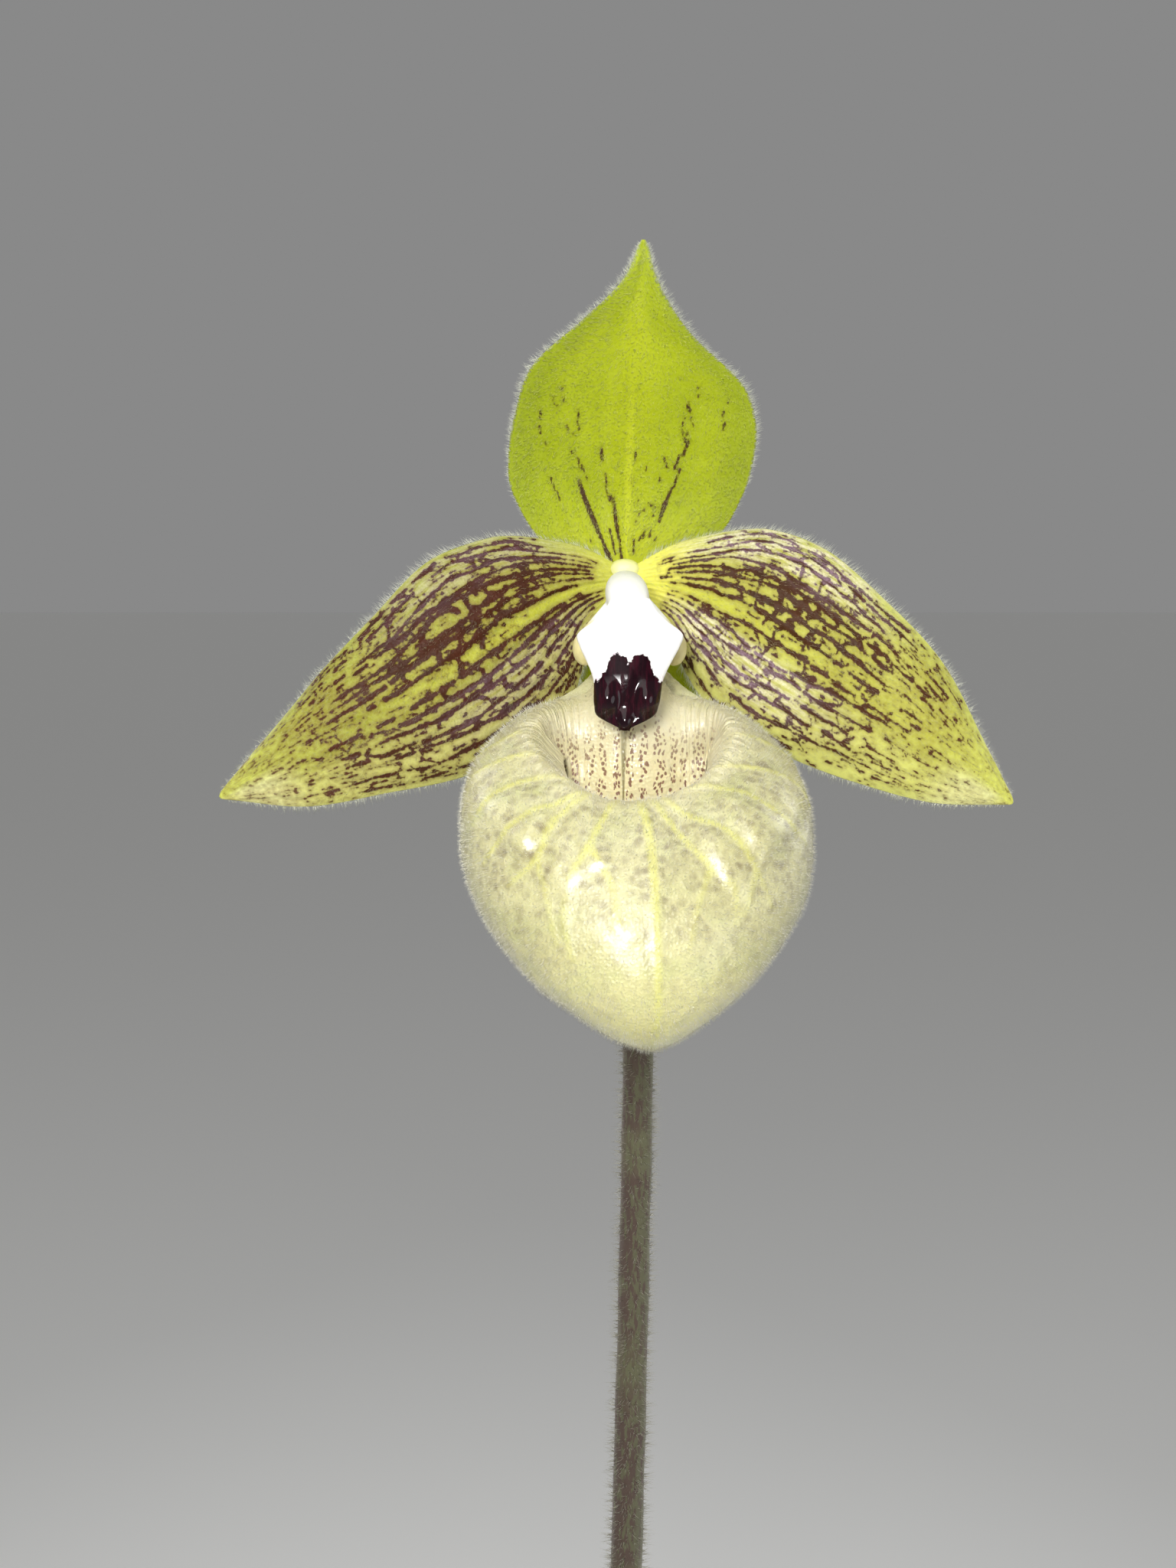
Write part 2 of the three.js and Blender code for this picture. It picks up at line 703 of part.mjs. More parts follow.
const shield = {
  top: [0, -11.2, -3.2],
  tip: [0, -13.6, -15.5],
  half: [1.9, 2.5, 3.6, 5.0, 4.75, 4.2, 3.65, 3.25, 3.15, 3.05, 2.6, 0.3],
  // bumps on its face: height, then the place and spread of each across it and down it
  lobe: { high: 0.75, q: 0.62, spreadQ: 0.06, s: 0.76, spreadS: 0.012 },
  knob: { high: 0.5, q: 0, spreadQ: 0.05, s: 0.95, spreadS: 0.004 },
  dome: 0.9,
  thickness: 1.0,
  rows: 14,
  columns: 8,
};

function shieldBump({ high, q, spreadQ, s, spreadS }, atS, atQ) {
  return high * exp(-((abs(atQ) - q) ** 2) / spreadQ) * exp(-((atS - s) ** 2) / spreadS);
}

function shieldPoint(s, q) {
  const half = through(shield.half, s);
  const bumps = shieldBump(shield.lobe, s, q) + shieldBump(shield.knob, s, q);
  const dome = shield.dome * (1 - q * q) * sin(PI * min(s * 1.1, 1));
  return vec(
    shield.top[0] + half * q,
    lerp(shield.top[1], shield.tip[1], s) - dome - bumps,
    lerp(shield.top[2], shield.tip[2], s),
  );
}

function shieldGeometry() {
  return blade(shield.rows, shield.columns, shieldPoint, () => shield.thickness);
}

// Assembly
add('pot', potGeometry(), finishes.potPlastic);
add('bark_mix', mixGeometry(), finishes.bark);
add('crown_and_roots', geometryFrom(crownSolid(0)), finishes.root);
leaves.forEach((leaf, i) => add(`leaf_${i + 1}`, leafGeometry(leaf, i), finishes.leaf));
add('flower_stalk', scapeGeometry(), finishes.stalk);
add('ovary', ovaryGeometry(), finishes.stalk, flower);
add('bract', bractGeometry(), finishes.bract, flower);
for (const [name, shape] of Object.entries(shapes)) {
  const point = (s, q) => petalPoint(shape, s, q);
  const sheet = blade(shape.rows, petalColumns, point, () => petalThickness);
  add(name, sheet, name.startsWith('petal') ? finishes.petal : finishes.sepal, flower);
}
add('lip', lipGeometry(), finishes.lip, flower);
add('column', columnGeometry(), finishes.column, flower);
add('staminode', shieldGeometry(), finishes.staminode, flower);

export default plant;
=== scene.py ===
# A potted slipper orchid, dressed for its close-up. Metres, z up; the flower faces -y.
import math

import bpy
import numpy as np
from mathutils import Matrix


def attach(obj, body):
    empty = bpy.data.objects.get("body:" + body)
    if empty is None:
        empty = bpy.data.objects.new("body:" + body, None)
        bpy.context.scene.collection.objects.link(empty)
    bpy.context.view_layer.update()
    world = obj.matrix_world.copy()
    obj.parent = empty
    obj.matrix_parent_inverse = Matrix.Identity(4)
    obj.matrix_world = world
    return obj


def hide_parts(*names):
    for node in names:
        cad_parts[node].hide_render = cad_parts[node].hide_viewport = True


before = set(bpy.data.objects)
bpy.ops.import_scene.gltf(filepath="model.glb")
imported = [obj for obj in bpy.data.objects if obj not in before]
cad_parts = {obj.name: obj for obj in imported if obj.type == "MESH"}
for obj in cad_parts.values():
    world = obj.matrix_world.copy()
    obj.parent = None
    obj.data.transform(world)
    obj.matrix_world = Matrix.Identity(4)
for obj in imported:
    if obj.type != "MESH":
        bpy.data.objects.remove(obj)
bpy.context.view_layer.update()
print("stage: solids loaded")

mm = 0.001
flowerAt = np.array([3.0, -24.0, 400.0])  # where the flower's parts meet, in millimetres
goldenAngle = 2.39996
farGap = 9.0  # the distance to a mark, in millimetres, where there is none
hairSunk = 0.06  # how far a hair's foot lies under the skin


# Shape maths, all on whole arrays

def through(values, t):
    # Catmull-Rom curve through evenly spaced values, carried straight on past both ends
    v = np.asarray(values, float)
    last = len(v) - 1
    at = np.clip(np.asarray(t, float), 0, 1) * last
    i = np.minimum(at.astype(int), last - 1)
    f = at - i
    padded = np.concatenate([[2 * v[0] - v[1]], v, [2 * v[-1] - v[-2]]])
    p0, p1, p2, p3 = (padded[i + k] for k in range(4))
    a = -p0 + 3 * p1 - 3 * p2 + p3
    b = 2 * p0 - 5 * p1 + 4 * p2 - p3
    return 0.5 * (2 * p1 + (p2 - p0) * f + b * f * f + a * f**3)


def smooth(low, high, x):
    t = np.clip((np.asarray(x, float) - low) / (high - low), 0, 1)
    return t * t * (3 - 2 * t)


def lerp(a, b, t):
    return a + (b - a) * t


def bell(x, middle, spread):
    return np.exp(-(((x - middle) / spread) ** 2))


def vec(x, y, z):
    return np.stack(np.broadcast_arrays(x, y, z), -1).astype(float)


def unit(v):
    return v / np.maximum(np.linalg.norm(v, axis=-1, keepdims=True), 1e-12)


def ripple(points, size, seed, waves=9):
    # Uneven waves from about -1 to 1: a sum of cosines that run in random directions
    rng = np.random.default_rng(seed)
    ways = unit(rng.normal(size=(waves, 3))) * rng.uniform(0.6, 1.5, (waves, 1))
    phases = rng.uniform(0, 2 * math.pi, waves)
    return np.cos(points @ (2 * math.pi / size * ways).T + phases).sum(-1) / math.sqrt(waves)


def wobble(s, size, seed):
    # The same kind of waves along one line
    return ripple(vec(s, 0 * s, 0 * s), size, seed, waves=5)


def sheetNormal(sheet, s, q):
    # Across times along, from steps to either side on the sheet
    step = 1e-3
    along = sheet(np.minimum(s + step, 1), q) - sheet(np.maximum(s - step, 0), q)
    across = sheet(s, np.minimum(q + step, 1)) - sheet(s, np.maximum(q - step, -1))
    return unit(np.cross(across, along))


def bladeSides(cols, frontShare):
    # Goes once round a blade's section: q runs from 1 to -1 on the front and back on the rear,
    # closer together at the margins; the second result is the share of the half thickness
    front = round(cols * frontShare)
    rear = cols - front
    x = np.concatenate([1 - 2 * np.arange(front) / front, -1 + 2 * np.arange(rear) / rear])
    q = 0.6 * x + 0.4 * np.sin(math.pi / 2 * x)
    sign = np.where(np.arange(cols) < front, 1.0, -1.0)
    return q, sign * np.sqrt(np.maximum(1 - q**8, 0))


def bladeRings(sheet, thickness, relief, rows, cols, frontShare=0.5):
    # Rings round a thin sheet: sheet + normal * (face * half thickness + relief)
    sides, faces = bladeSides(cols, frontShare)
    s, q = np.broadcast_arrays(np.linspace(0, 1, rows)[:, None], sides[None])
    face = np.broadcast_to(faces[None], s.shape)
    middle = sheet(s, q)
    lift = face * thickness(s, q) / 2 + relief(s, q, face)
    return middle + sheetNormal(sheet, s, q) * lift[..., None], middle, s, q, face


def pathFrames(path, rows, up):
    # Points along a path with two unit vectors square to it
    s = np.linspace(0, 1, rows)
    at = path(s)
    along = unit(path(np.minimum(s + 1e-3, 1)) - path(np.maximum(s - 1e-3, 0)))
    right = unit(np.cross(np.broadcast_to(up, along.shape), along))
    return s, at, right, np.cross(along, right)


def tubeRings(path, radius, rows, cols, up=(1.0, 0.0, 0.0)):
    # Rings round a path: point + radius(s, turn) * (right cos turn + front sin turn)
    s, at, right, front = pathFrames(path, rows, np.array(up))
    turn = 2 * math.pi * np.arange(cols) / cols
    s2, turn2 = np.broadcast_arrays(s[:, None], turn[None])
    r = radius(s2, turn2)[..., None]
    spokes = right[:, None] * np.cos(turn)[None, :, None] + front[:, None] * np.sin(turn)[None, :, None]
    return at[:, None] + r * spokes, s2, turn2


def latheRings(profile, cols):
    # A profile of (radius, height) carried round the z axis
    r, z = np.array(profile, float).T
    turn = 2 * math.pi * np.arange(cols) / cols
    return vec(r[:, None] * np.cos(turn), r[:, None] * np.sin(turn), z[:, None])


def softProfile(corners, radius, steps=5):
    # A profile with its inner corners rounded by short quadratic curves
    pts = np.array(corners, float)
    out = [pts[:1]]
    t = np.linspace(0, 1, steps)[:, None]
    for a, b, c in zip(pts[:-2], pts[1:-1], pts[2:]):
        into = b + (a - b) * min(radius / np.linalg.norm(a - b), 0.45)
        away = b + (c - b) * min(radius / np.linalg.norm(c - b), 0.45)
        out.append((1 - t) ** 2 * into + 2 * t * (1 - t) * b + t * t * away)
    return np.concatenate(out + [pts[-1:]])


# Mesh making

def facingOut(points, faces):
    # Turns the faces of a closed shape of quads and end fans outwards, by its signed volume
    inner = points - points.mean(0)
    a, b, c, d = (inner[faces[0][:, k]] for k in range(4))
    volume = np.einsum("ni,ni->", a, np.cross(b, c)) + np.einsum("ni,ni->", a, np.cross(c, d))
    return faces if volume > 0 else [f[:, ::-1] for f in faces]


def makeMesh(name, points, faces, corners=None, values=None):
    # points (n, 3) in millimetres; faces are index arrays (m, 3) or (m, 4); corners are
    # matching (m, k, 2) map places. A closed shape that turns out inside out is flipped.
    volume = 0.0
    for f in faces:
        a, b = points[f[:, 0]], points[f[:, 1:-1]]
        c = points[f[:, 2:]]
        volume += np.einsum("ni,nki->", a, np.cross(b, c))
    if volume < 0:
        faces = [f[:, ::-1] for f in faces]
        corners = None if corners is None else [c[:, ::-1] for c in corners]
    loops = np.concatenate([f.ravel() for f in faces])
    sizes = np.concatenate([np.full(len(f), f.shape[1]) for f in faces])
    mesh = bpy.data.meshes.new(name)
    mesh.vertices.add(len(points))
    mesh.vertices.foreach_set("co", (points * mm).astype(np.float32).ravel())
    mesh.loops.add(len(loops))
    mesh.loops.foreach_set("vertex_index", loops.astype(np.int32))
    mesh.polygons.add(len(sizes))
    starts = np.concatenate([[0], np.cumsum(sizes)[:-1]])
    mesh.polygons.foreach_set("loop_start", starts.astype(np.int32))
    mesh.polygons.foreach_set("use_smooth", np.ones(len(sizes), bool))
    if corners is not None:
        layer = mesh.uv_layers.new(name="sheet")
        flat = np.concatenate([c.reshape(-1, 2) for c in corners])
        layer.data.foreach_set("uv", flat.astype(np.float32).ravel())
    for key, value in (values or {}).items():
        mesh.attributes.new(key, "FLOAT", "POINT").data.foreach_set("value", value.astype(np.float32))
    mesh.update(calc_edges=True)
    mesh.validate()
    return mesh


def loft(rings, u=None, v=None, values=None):
    # Quads between closed rings; a fan round the middle of the first and last ring closes it.
    # u and v have one column more than the rings, so a map may end on another value.
    rows, cols = rings.shape[:2]
    index = np.arange(rows * cols).reshape(rows, cols)
    right = np.roll(index, -1, axis=1)
    quads = np.stack([index[:-1], right[:-1], right[1:], index[1:]], -1).reshape(-1, 4)
    first = np.full(cols, rows * cols)
    fans = [np.stack([right[0], index[0], first], -1), np.stack([index[-1], right[-1], first + 1], -1)]
    points = np.concatenate([rings.reshape(-1, 3), rings[:1].mean(1), rings[-1:].mean(1)])
    corners = None
    if u is not None:
        uv = np.stack(np.broadcast_arrays(u, v), -1)
        quadUv = np.stack([uv[:-1, :-1], uv[:-1, 1:], uv[1:, 1:], uv[1:, :-1]], 2)
        a, b = uv[0, :-1], uv[0, 1:]
        c, d = uv[-1, :-1], uv[-1, 1:]
        fanUvs = [np.stack([b, a, (a + b) / 2], 1), np.stack([c, d, (c + d) / 2], 1)]
        corners = [quadUv.reshape(-1, 4, 2)] + fanUvs
    ends = {
        key: np.concatenate([value.ravel(), [value[0].mean(), value[-1].mean()]])
        for key, value in (values or {}).items()
    }
    return points, [quads] + fans, corners, ends


def closeWrap(grid):
    return np.concatenate([grid, grid[:, :1]], 1)


def place(name, mesh, paint, slot, replaces=()):
    piece = bpy.data.objects.new(name, mesh)
    bpy.context.scene.collection.objects.link(piece)
    piece.data.materials.append(paint.material)
    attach(piece, "root")
    if replaces:
        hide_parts(*replaces)
    return piece


def joinShapes(shapes):
    # Several (points, faces) shapes as one
    points, faces, at = [], {3: [], 4: []}, 0
    for pts, fcs in shapes:
        points.append(pts)
        for f in fcs:
            faces[f.shape[1]].append(f + at)
        at += len(pts)
    return np.concatenate(points), [np.concatenate(group) for group in faces.values() if group]


def fuse(piece, voxel, softness):
    # Remeshes overlapping closed shapes into one skin, smooths it and keeps the result
    remesh = piece.modifiers.new("fuse", "REMESH")
    remesh.mode = "VOXEL"
    remesh.voxel_size = voxel * mm
    remesh.use_smooth_shade = True
    soften = piece.modifiers.new("soften", "SMOOTH")
    soften.factor = 0.5
    soften.iterations = softness
    keepResult(piece)


def keepResult(piece):
    # Applies the piece's modifiers
    graph = bpy.context.evaluated_depsgraph_get()
    made = bpy.data.meshes.new_from_object(piece.evaluated_get(graph))
    old = piece.data
    piece.modifiers.clear()
    piece.data = made
    bpy.data.meshes.remove(old)
    for polygon in piece.data.polygons:
        polygon.use_smooth = True


def scatterOn(points, normals, weight, count, rng):
    # Random places on a grid of points, even by area times weight. Returns the places, the
    # normals there and a function that reads any other grid at the same places.
    a, b, c, d = points[:-1, :-1], points[:-1, 1:], points[1:, 1:], points[1:, :-1]
    area = np.linalg.norm(np.cross(c - a, d - b), axis=-1) * weight[:-1, :-1]
    pick = rng.choice(area.size, count, p=area.ravel() / area.sum())
    i, j = np.divmod(pick, area.shape[1])
    f, g = rng.random((2, count))

    def read(grid):
        f2, g2 = (f, g) if grid.ndim == 2 else (f[:, None], g[:, None])
        low = lerp(grid[i, j], grid[i, j + 1], g2)
        return lerp(low, lerp(grid[i + 1, j], grid[i + 1, j + 1], g2), f2)

    return read(points), unit(read(normals)), read


def spikes(roots, aims, lengths, radius):
    # Hairs: each is a slim three-sided spike with a closed foot, sunk a little way in
    aims = unit(aims)
    helper = np.where(np.abs(aims[:, 2:]) > 0.8, [[1.0, 0.0, 0.0]], [[0.0, 0.0, 1.0]])
    side = unit(np.cross(aims, helper))
    other = np.cross(aims, side)
    foot = roots - aims * hairSunk
    turns = 2 * math.pi * np.arange(3) / 3
    ring = [foot + radius * (math.cos(t) * side + math.sin(t) * other) for t in turns]
    tip = roots + aims * lengths[:, None]
    points = np.stack(ring + [tip], 1).reshape(-1, 3)
    base = 4 * np.arange(len(roots))[:, None]
    pattern = [[0, 1, 3], [1, 2, 3], [2, 0, 3], [0, 2, 1]]
    faces = np.concatenate([base + np.array([p]) for p in pattern])
    return points, [faces]


def markGap(points, marks):
    # Distance from each point to the nearest mark, less that mark's half width there. A mark
    # is (start, end, half width at the start, half width at the end).
    best = np.full(len(points), farGap)
    for start, end, w0, w1 in marks:
        along = end - start
        t = np.clip((points - start) @ along / max(along @ along, 1e-9), 0, 1)
        gap = np.linalg.norm(points - start - t[:, None] * along, axis=1) - lerp(w0, w1, t)
        best = np.minimum(best, gap)
    return best


# Materials

def rgb(r, g, b):
    # Screen colour, 0 to 255, as the light values that shaders use
    c = np.array([r, g, b]) / 255
    linear = np.where(c <= 0.04045, c / 12.92, ((c + 0.055) / 1.055) ** 2.4)
    return (*linear.tolist(), 1.0)


class Wire:
    # One output of a shader node; sums on it add Math nodes to its material
    def __init__(self, paint, socket):
        self.paint = paint
        self.socket = socket

    def __add__(self, other):
        return self.paint.maths("ADD", self, other)

    def __sub__(self, other):
        return self.paint.maths("SUBTRACT", self, other)

    def __rsub__(self, other):
        return self.paint.maths("SUBTRACT", other, self)

    def __mul__(self, other):
        return self.paint.maths("MULTIPLY", self, other)

    def __truediv__(self, other):
        return self.paint.maths("DIVIDE", self, other)

    def __abs__(self):
        return self.paint.maths("ABSOLUTE", self)

    __radd__ = __add__
    __rmul__ = __mul__


class Paint:
    # A material and the calls that fill its node tree
    def __init__(self, name):
        self.material = bpy.data.materials.new(name)
        self.material.use_nodes = True
        self.tree = self.material.node_tree
        self.tree.nodes.clear()

    def node(self, kind, settings=None, sockets=None, output=0):
        made = self.tree.nodes.new("ShaderNode" + kind)
        for key, value in (settings or {}).items():
            setattr(made, key, value)
        for key, value in (sockets or {}).items():
            if isinstance(value, Wire):
                self.tree.links.new(value.socket, made.inputs[key])
            else:
                made.inputs[key].default_value = value
        return Wire(self, made.outputs[output])

    def maths(self, operation, *values):
        return self.node("Math", {"operation": operation}, dict(enumerate(values)))

    def most(self, a, b):
        return self.maths("MAXIMUM", a, b)

    def step(self, low, high, x):
        # A soft step from 0 at low to 1 at high
        settings = {"interpolation_type": "SMOOTHSTEP"}
        return self.node("MapRange", settings, {0: x, 1: low, 2: high, 3: 0.0, 4: 1.0})

    def mix(self, factor, a, b):
        return self.node("Mix", {"data_type": "RGBA"}, {0: factor, 6: a, 7: b}, 2)

    def sheet(self):
        uv = self.node("UVMap", {"uv_map": "sheet"})
        parts = self.node("SeparateXYZ", {}, {0: uv}).socket.node
        return Wire(self, parts.outputs[0]), Wire(self, parts.outputs[1])

    def value(self, name):
        return self.node("Attribute", {"attribute_name": name}, {}, "Fac")

    def place(self):
        # Object coordinates in millimetres
        at = self.node("TexCoord", {}, {}, "Object")
        return self.node("VectorMath", {"operation": "SCALE"}, {0: at, "Scale": 1 / mm})

    def parts(self, vector):
        split = self.node("SeparateXYZ", {}, {0: vector}).socket.node
        return [Wire(self, split.outputs[k]) for k in range(3)]

    def vector(self, x, y, z=0.0):
        return self.node("CombineXYZ", {}, {0: x, 1: y, 2: z})

    def noise(self, vector, size, detail=2.0, rough=0.5):
        return self.node(
            "TexNoise", {}, {"Vector": vector, "Scale": 1 / size, "Detail": detail, "Roughness": rough}
        )

    def cells(self, vector, size, feature="F1", random=1.0, dimensions="3D"):
        settings = {"feature": feature, "voronoi_dimensions": dimensions}
        sockets = {"Vector": vector, "Scale": 1 / size, "Randomness": random}
        return self.node("TexVoronoi", settings, sockets, "Distance")

    def bump(self, height, depth):
        # depth in millimetres
        return self.node("Bump", {}, {"Height": height, "Distance": depth * mm, "Strength": 1.0})

    def finish(self, sockets):
        shader = self.node("BsdfPrincipled", {}, sockets)
        end = self.tree.nodes.new("ShaderNodeOutputMaterial")
        self.tree.links.new(shader.socket, end.inputs["Surface"])


def hairPaint(name, colour, roughness=0.45):
    # Clear silvery hairs, a little uneven along the plant
    paint = Paint(name)
    uneven = paint.noise(paint.place(), 2.5, 1.0)
    dark = tuple(0.8 * c for c in colour[:3]) + (1.0,)
    paint.finish({
        "Base Color": paint.mix(uneven, dark, colour),
        "Roughness": roughness + uneven * 0.1,
        "Subsurface Weight": 0.0,
        "Specular IOR Level": 0.6,
    })
    return paint


# Camera and light, set up for the photograph's close-up of the flower

view = {
    "lens": 38.67,
    "tiltDown": 6.0,
    "fromFlower": (-4.03, -171.89, -3.91),
    "worldGrey": 0.25,
    "floorSize": 240.0,
}
lamps = {
    # name: place from the flower in mm, size in mm, watts, colour
    "lampKey": ((-150.0, -430.0, 300.0), 420.0, 0.75, (1.0, 0.985, 0.95)),
    "lampFlash": ((-30.0, -180.0, 28.0), 40.0, 0.24, (1.0, 1.0, 0.98)),
    "lampFill": ((420.0, -330.0, -40.0), 320.0, 0.45, (0.95, 0.98, 1.0)),
    "lampRimLeft": ((-300.0, 280.0, 180.0), 320.0, 0.9, (1.0, 1.0, 1.0)),
    "lampRimRight": ((310.0, 260.0, 120.0), 320.0, 0.8, (1.0, 1.0, 1.0)),
    "lampTop": ((0.0, -150.0, 1100.0), 900.0, 2.8, (1.0, 1.0, 1.0)),
}

camera = bpy.data.objects.new("camera", bpy.data.cameras.new("camera"))
bpy.context.scene.collection.objects.link(camera)
camera.data.lens = view["lens"]
camera.data.sensor_width = 36
camera.data.clip_start = 0.01
camera.data.clip_end = 400
camera.location = (flowerAt + np.array(view["fromFlower"])) * mm
camera.rotation_euler = (math.radians(90 - view["tiltDown"]), 0, 0)
bpy.context.scene.camera = camera

for name, (offset, size, watts, colour) in lamps.items():
    data = bpy.data.lights.new(name, "AREA")
    data.shape = "DISK"
    data.size = size * mm
    data.energy = watts
    data.color = colour
    lamp = bpy.data.objects.new(name, data)
    bpy.context.scene.collection.objects.link(lamp)
    lamp.location = (flowerAt + np.array(offset)) * mm
    # a lamp shines along its own -z, so z points from the flower to the lamp
    x, y, z = np.array(offset) / np.linalg.norm(offset)
    lamp.rotation_euler = (math.acos(z), 0, math.atan2(y, x) + math.pi / 2)

world = bpy.data.worlds.new("studio")
world.use_nodes = True
world.node_tree.nodes["Background"].inputs[0].default_value = (*[view["worldGrey"]] * 3, 1)
bpy.context.scene.world = world
bpy.context.scene.view_settings.view_transform = "Standard"

floorPaint = Paint("floor")
floorPaint.finish({"Base Color": rgb(250, 250, 248), "Roughness": 0.95})
half = view["floorSize"] / mm / 2
floorPoints = np.array([[-half, -half, -0.4], [half, -half, -0.4], [half, half, -0.4], [-half, half, -0.4]])
floorMesh = bpy.data.meshes.new("floor")
floorMesh.from_pydata((floorPoints * mm).tolist(), [], [(0, 1, 2, 3)])
floor = bpy.data.objects.new("floor", floorMesh)
floorMesh.materials.append(floorPaint.material)
bpy.context.scene.collection.objects.link(floor)
print("stage: camera and lamps")


# Sepals and petals

petals = {
    "thickness": 0.8,
    "base": 0.3,  # share of the length by which it has left its narrow base
    "furrow": 0.05,  # relief of the lengthwise veins
    "crinkle": 0.11,
    "sepalCrinkle": 0.035,
    "ribs": 15,  # lengthwise veins that show as ribs, and those of a sepal
    "sepalRibs": 11,
    "hairLength": 0.5,
    "hairFoot": 0.42,  # from the middle of the sheet to the foot of its down
    "frontHairs": 0.74,  # share of the down that grows on the front
    "marginHair": 1.1,
}
shapes = {
    # middle line x, z and depth y, with the reach to each side, all at even stations
    "dorsal_sepal": dict(
        x=[0, 0, 0.1, 0.2, 0.35, 0.5, 0.8, 1.1, 1.35],
        z=[0.4, 4.0, 7.4, 10.9, 14.9, 19, 23.4, 27.6, 31.4],
        y=[2.7, 3.9, 4.0, 3.1, 1.6, -0.2, -1.8, -3.2, -4.4],
        left=[1.5, 8.6, 11.8, 12.3, 11.7, 10.2, 5.6, 1.7, 0.2],
        right=[1.5, 8.4, 11.4, 12.4, 12.4, 10.4, 5.0, 1.7, 0.2],
        back=(-2.2, -2.2), sag=2.6, wave=(0.3, 3, 1),
    ),
    "synsepal": dict(
        x=[0, 0, 0.1, 0.2, 0.4, 0.6, 0.8],
        z=[-3.3, -8.6, -14.6, -20.4, -26, -31.4, -36.6],
        y=[1.9, 3.6, 4.6, 5.0, 5.0, 4.6, 3.8],
        left=[1.6, 7.8, 10.4, 10.8, 9.2, 5.6, 0.2],
        right=[1.6, 7.8, 10.4, 10.8, 9.2, 5.6, 0.2],
        back=(1.2, 1.2), sag=0, wave=(0.2, 3, 0),
    ),
    "petal_left": dict(
        x=[-0.7, -5.1, -9.2, -13.9, -20.2, -28.0, -35, -40.8],
        z=[-1.4, -2.2, -4.2, -7.6, -11.9, -16.2, -19.6, -22.8],
        y=[1.1, 0.3, -1.1, -2.6, -4.2, -5.2, -5.2, -4.2],
        left=[1.9, 4.9, 8.2, 10.2, 10.0, 7.2, 4.7, 0.25],
        right=[1.8, 5.1, 8.7, 10.4, 9.1, 6.4, 2.9, 0.25],
        back=(1.9, 2.9), sag=0, wave=(0.5, 2.6, 0.6),
    ),
    "petal_right": dict(
        x=[0.6, 5.6, 10.0, 14.6, 20.3, 27.0, 33.2, 38.4],
        z=[-1.4, -2.1, -3.9, -6.6, -10.2, -14.7, -19.4, -23.4],
        y=[1.1, 0.3, -1.1, -2.6, -4.2, -5.2, -5.2, -4.2],
        left=[1.8, 5.4, 8.9, 10.1, 9.0, 7.0, 3.4, 0.25],
        right=[1.9, 4.9, 8.2, 9.9, 9.8, 8.1, 5.0, 0.25],
        back=(2.9, 1.9), sag=0, wave=(0.5, 2.6, 2.2),
    ),
}


def petalSheet(shape):
    # middle line + q * reach square to it, bent back by q squared, with a slight wave at the
    # margins and a sag at the base: the same surface as the solid's
    def sheet(s, q):
        before, after = np.maximum(s - 0.01, 0), np.minimum(s + 0.01, 1)
        dx = through(shape["x"], after) - through(shape["x"], before)
        dz = through(shape["z"], after) - through(shape["z"], before)
        size = np.hypot(dx, dz)
        clear = smooth(0, petals["base"], s)
        reach = q * np.where(q < 0, through(shape["left"], s), through(shape["right"], s))
        back = np.where(q < 0, shape["back"][0], shape["back"][1]) * clear
        high, count, phase = shape["wave"]
        wave = high * np.sin(count * math.pi * s + phase) * q**3 * np.sin(math.pi * s)
        y = through(shape["y"], s) + back * q * q * (1 - s**4) + wave
        sag = shape["sag"] * q * q * (1 - clear)
        x = through(shape["x"], s) + reach * dz / size
        z = through(shape["z"], s) - reach * dx / size - sag
        return flowerAt + vec(x, y, z)

    return sheet


def petalRelief(seed, lines, crinkled):
    # Shallow ribs along q, a dent over the midrib and uneven waves, fading at the ends
    def relief(s, q, face):
        fade = smooth(0, 0.1, s) * smooth(0, 0.1, 1 - s)
        ribs = petals["furrow"] * np.cos(lines * math.pi * q) * smooth(0.8, 0.35, s)
        dent = -0.22 * bell(q, 0, 0.07) * smooth(0.9, 0.4, s)
        crinkle = crinkled * ripple(vec(9 * q, 34 * s, 0 * s), 4.5, seed)
        fine = 0.28 * crinkled * ripple(vec(9 * q, 34 * s, 0 * s), 1.3, seed + 1)
        return (ribs + dent + crinkle + fine) * fade * (1 - q**6)

    return relief


netPlan = {
    # the veins that carry marks, as places across the petal with the upper side positive
    "lines": [0.91, 0.8, 0.69, 0.58, 0.47, 0.36, 0.25, 0.11, -0.1, -0.22, -0.35, -0.48, -0.61, -0.74, -0.87],
    "wander": 0.026,
    "stations": 100,
    "barStart": 0.24,
    "barEnd": 0.93,
    "dots": 1300,
}


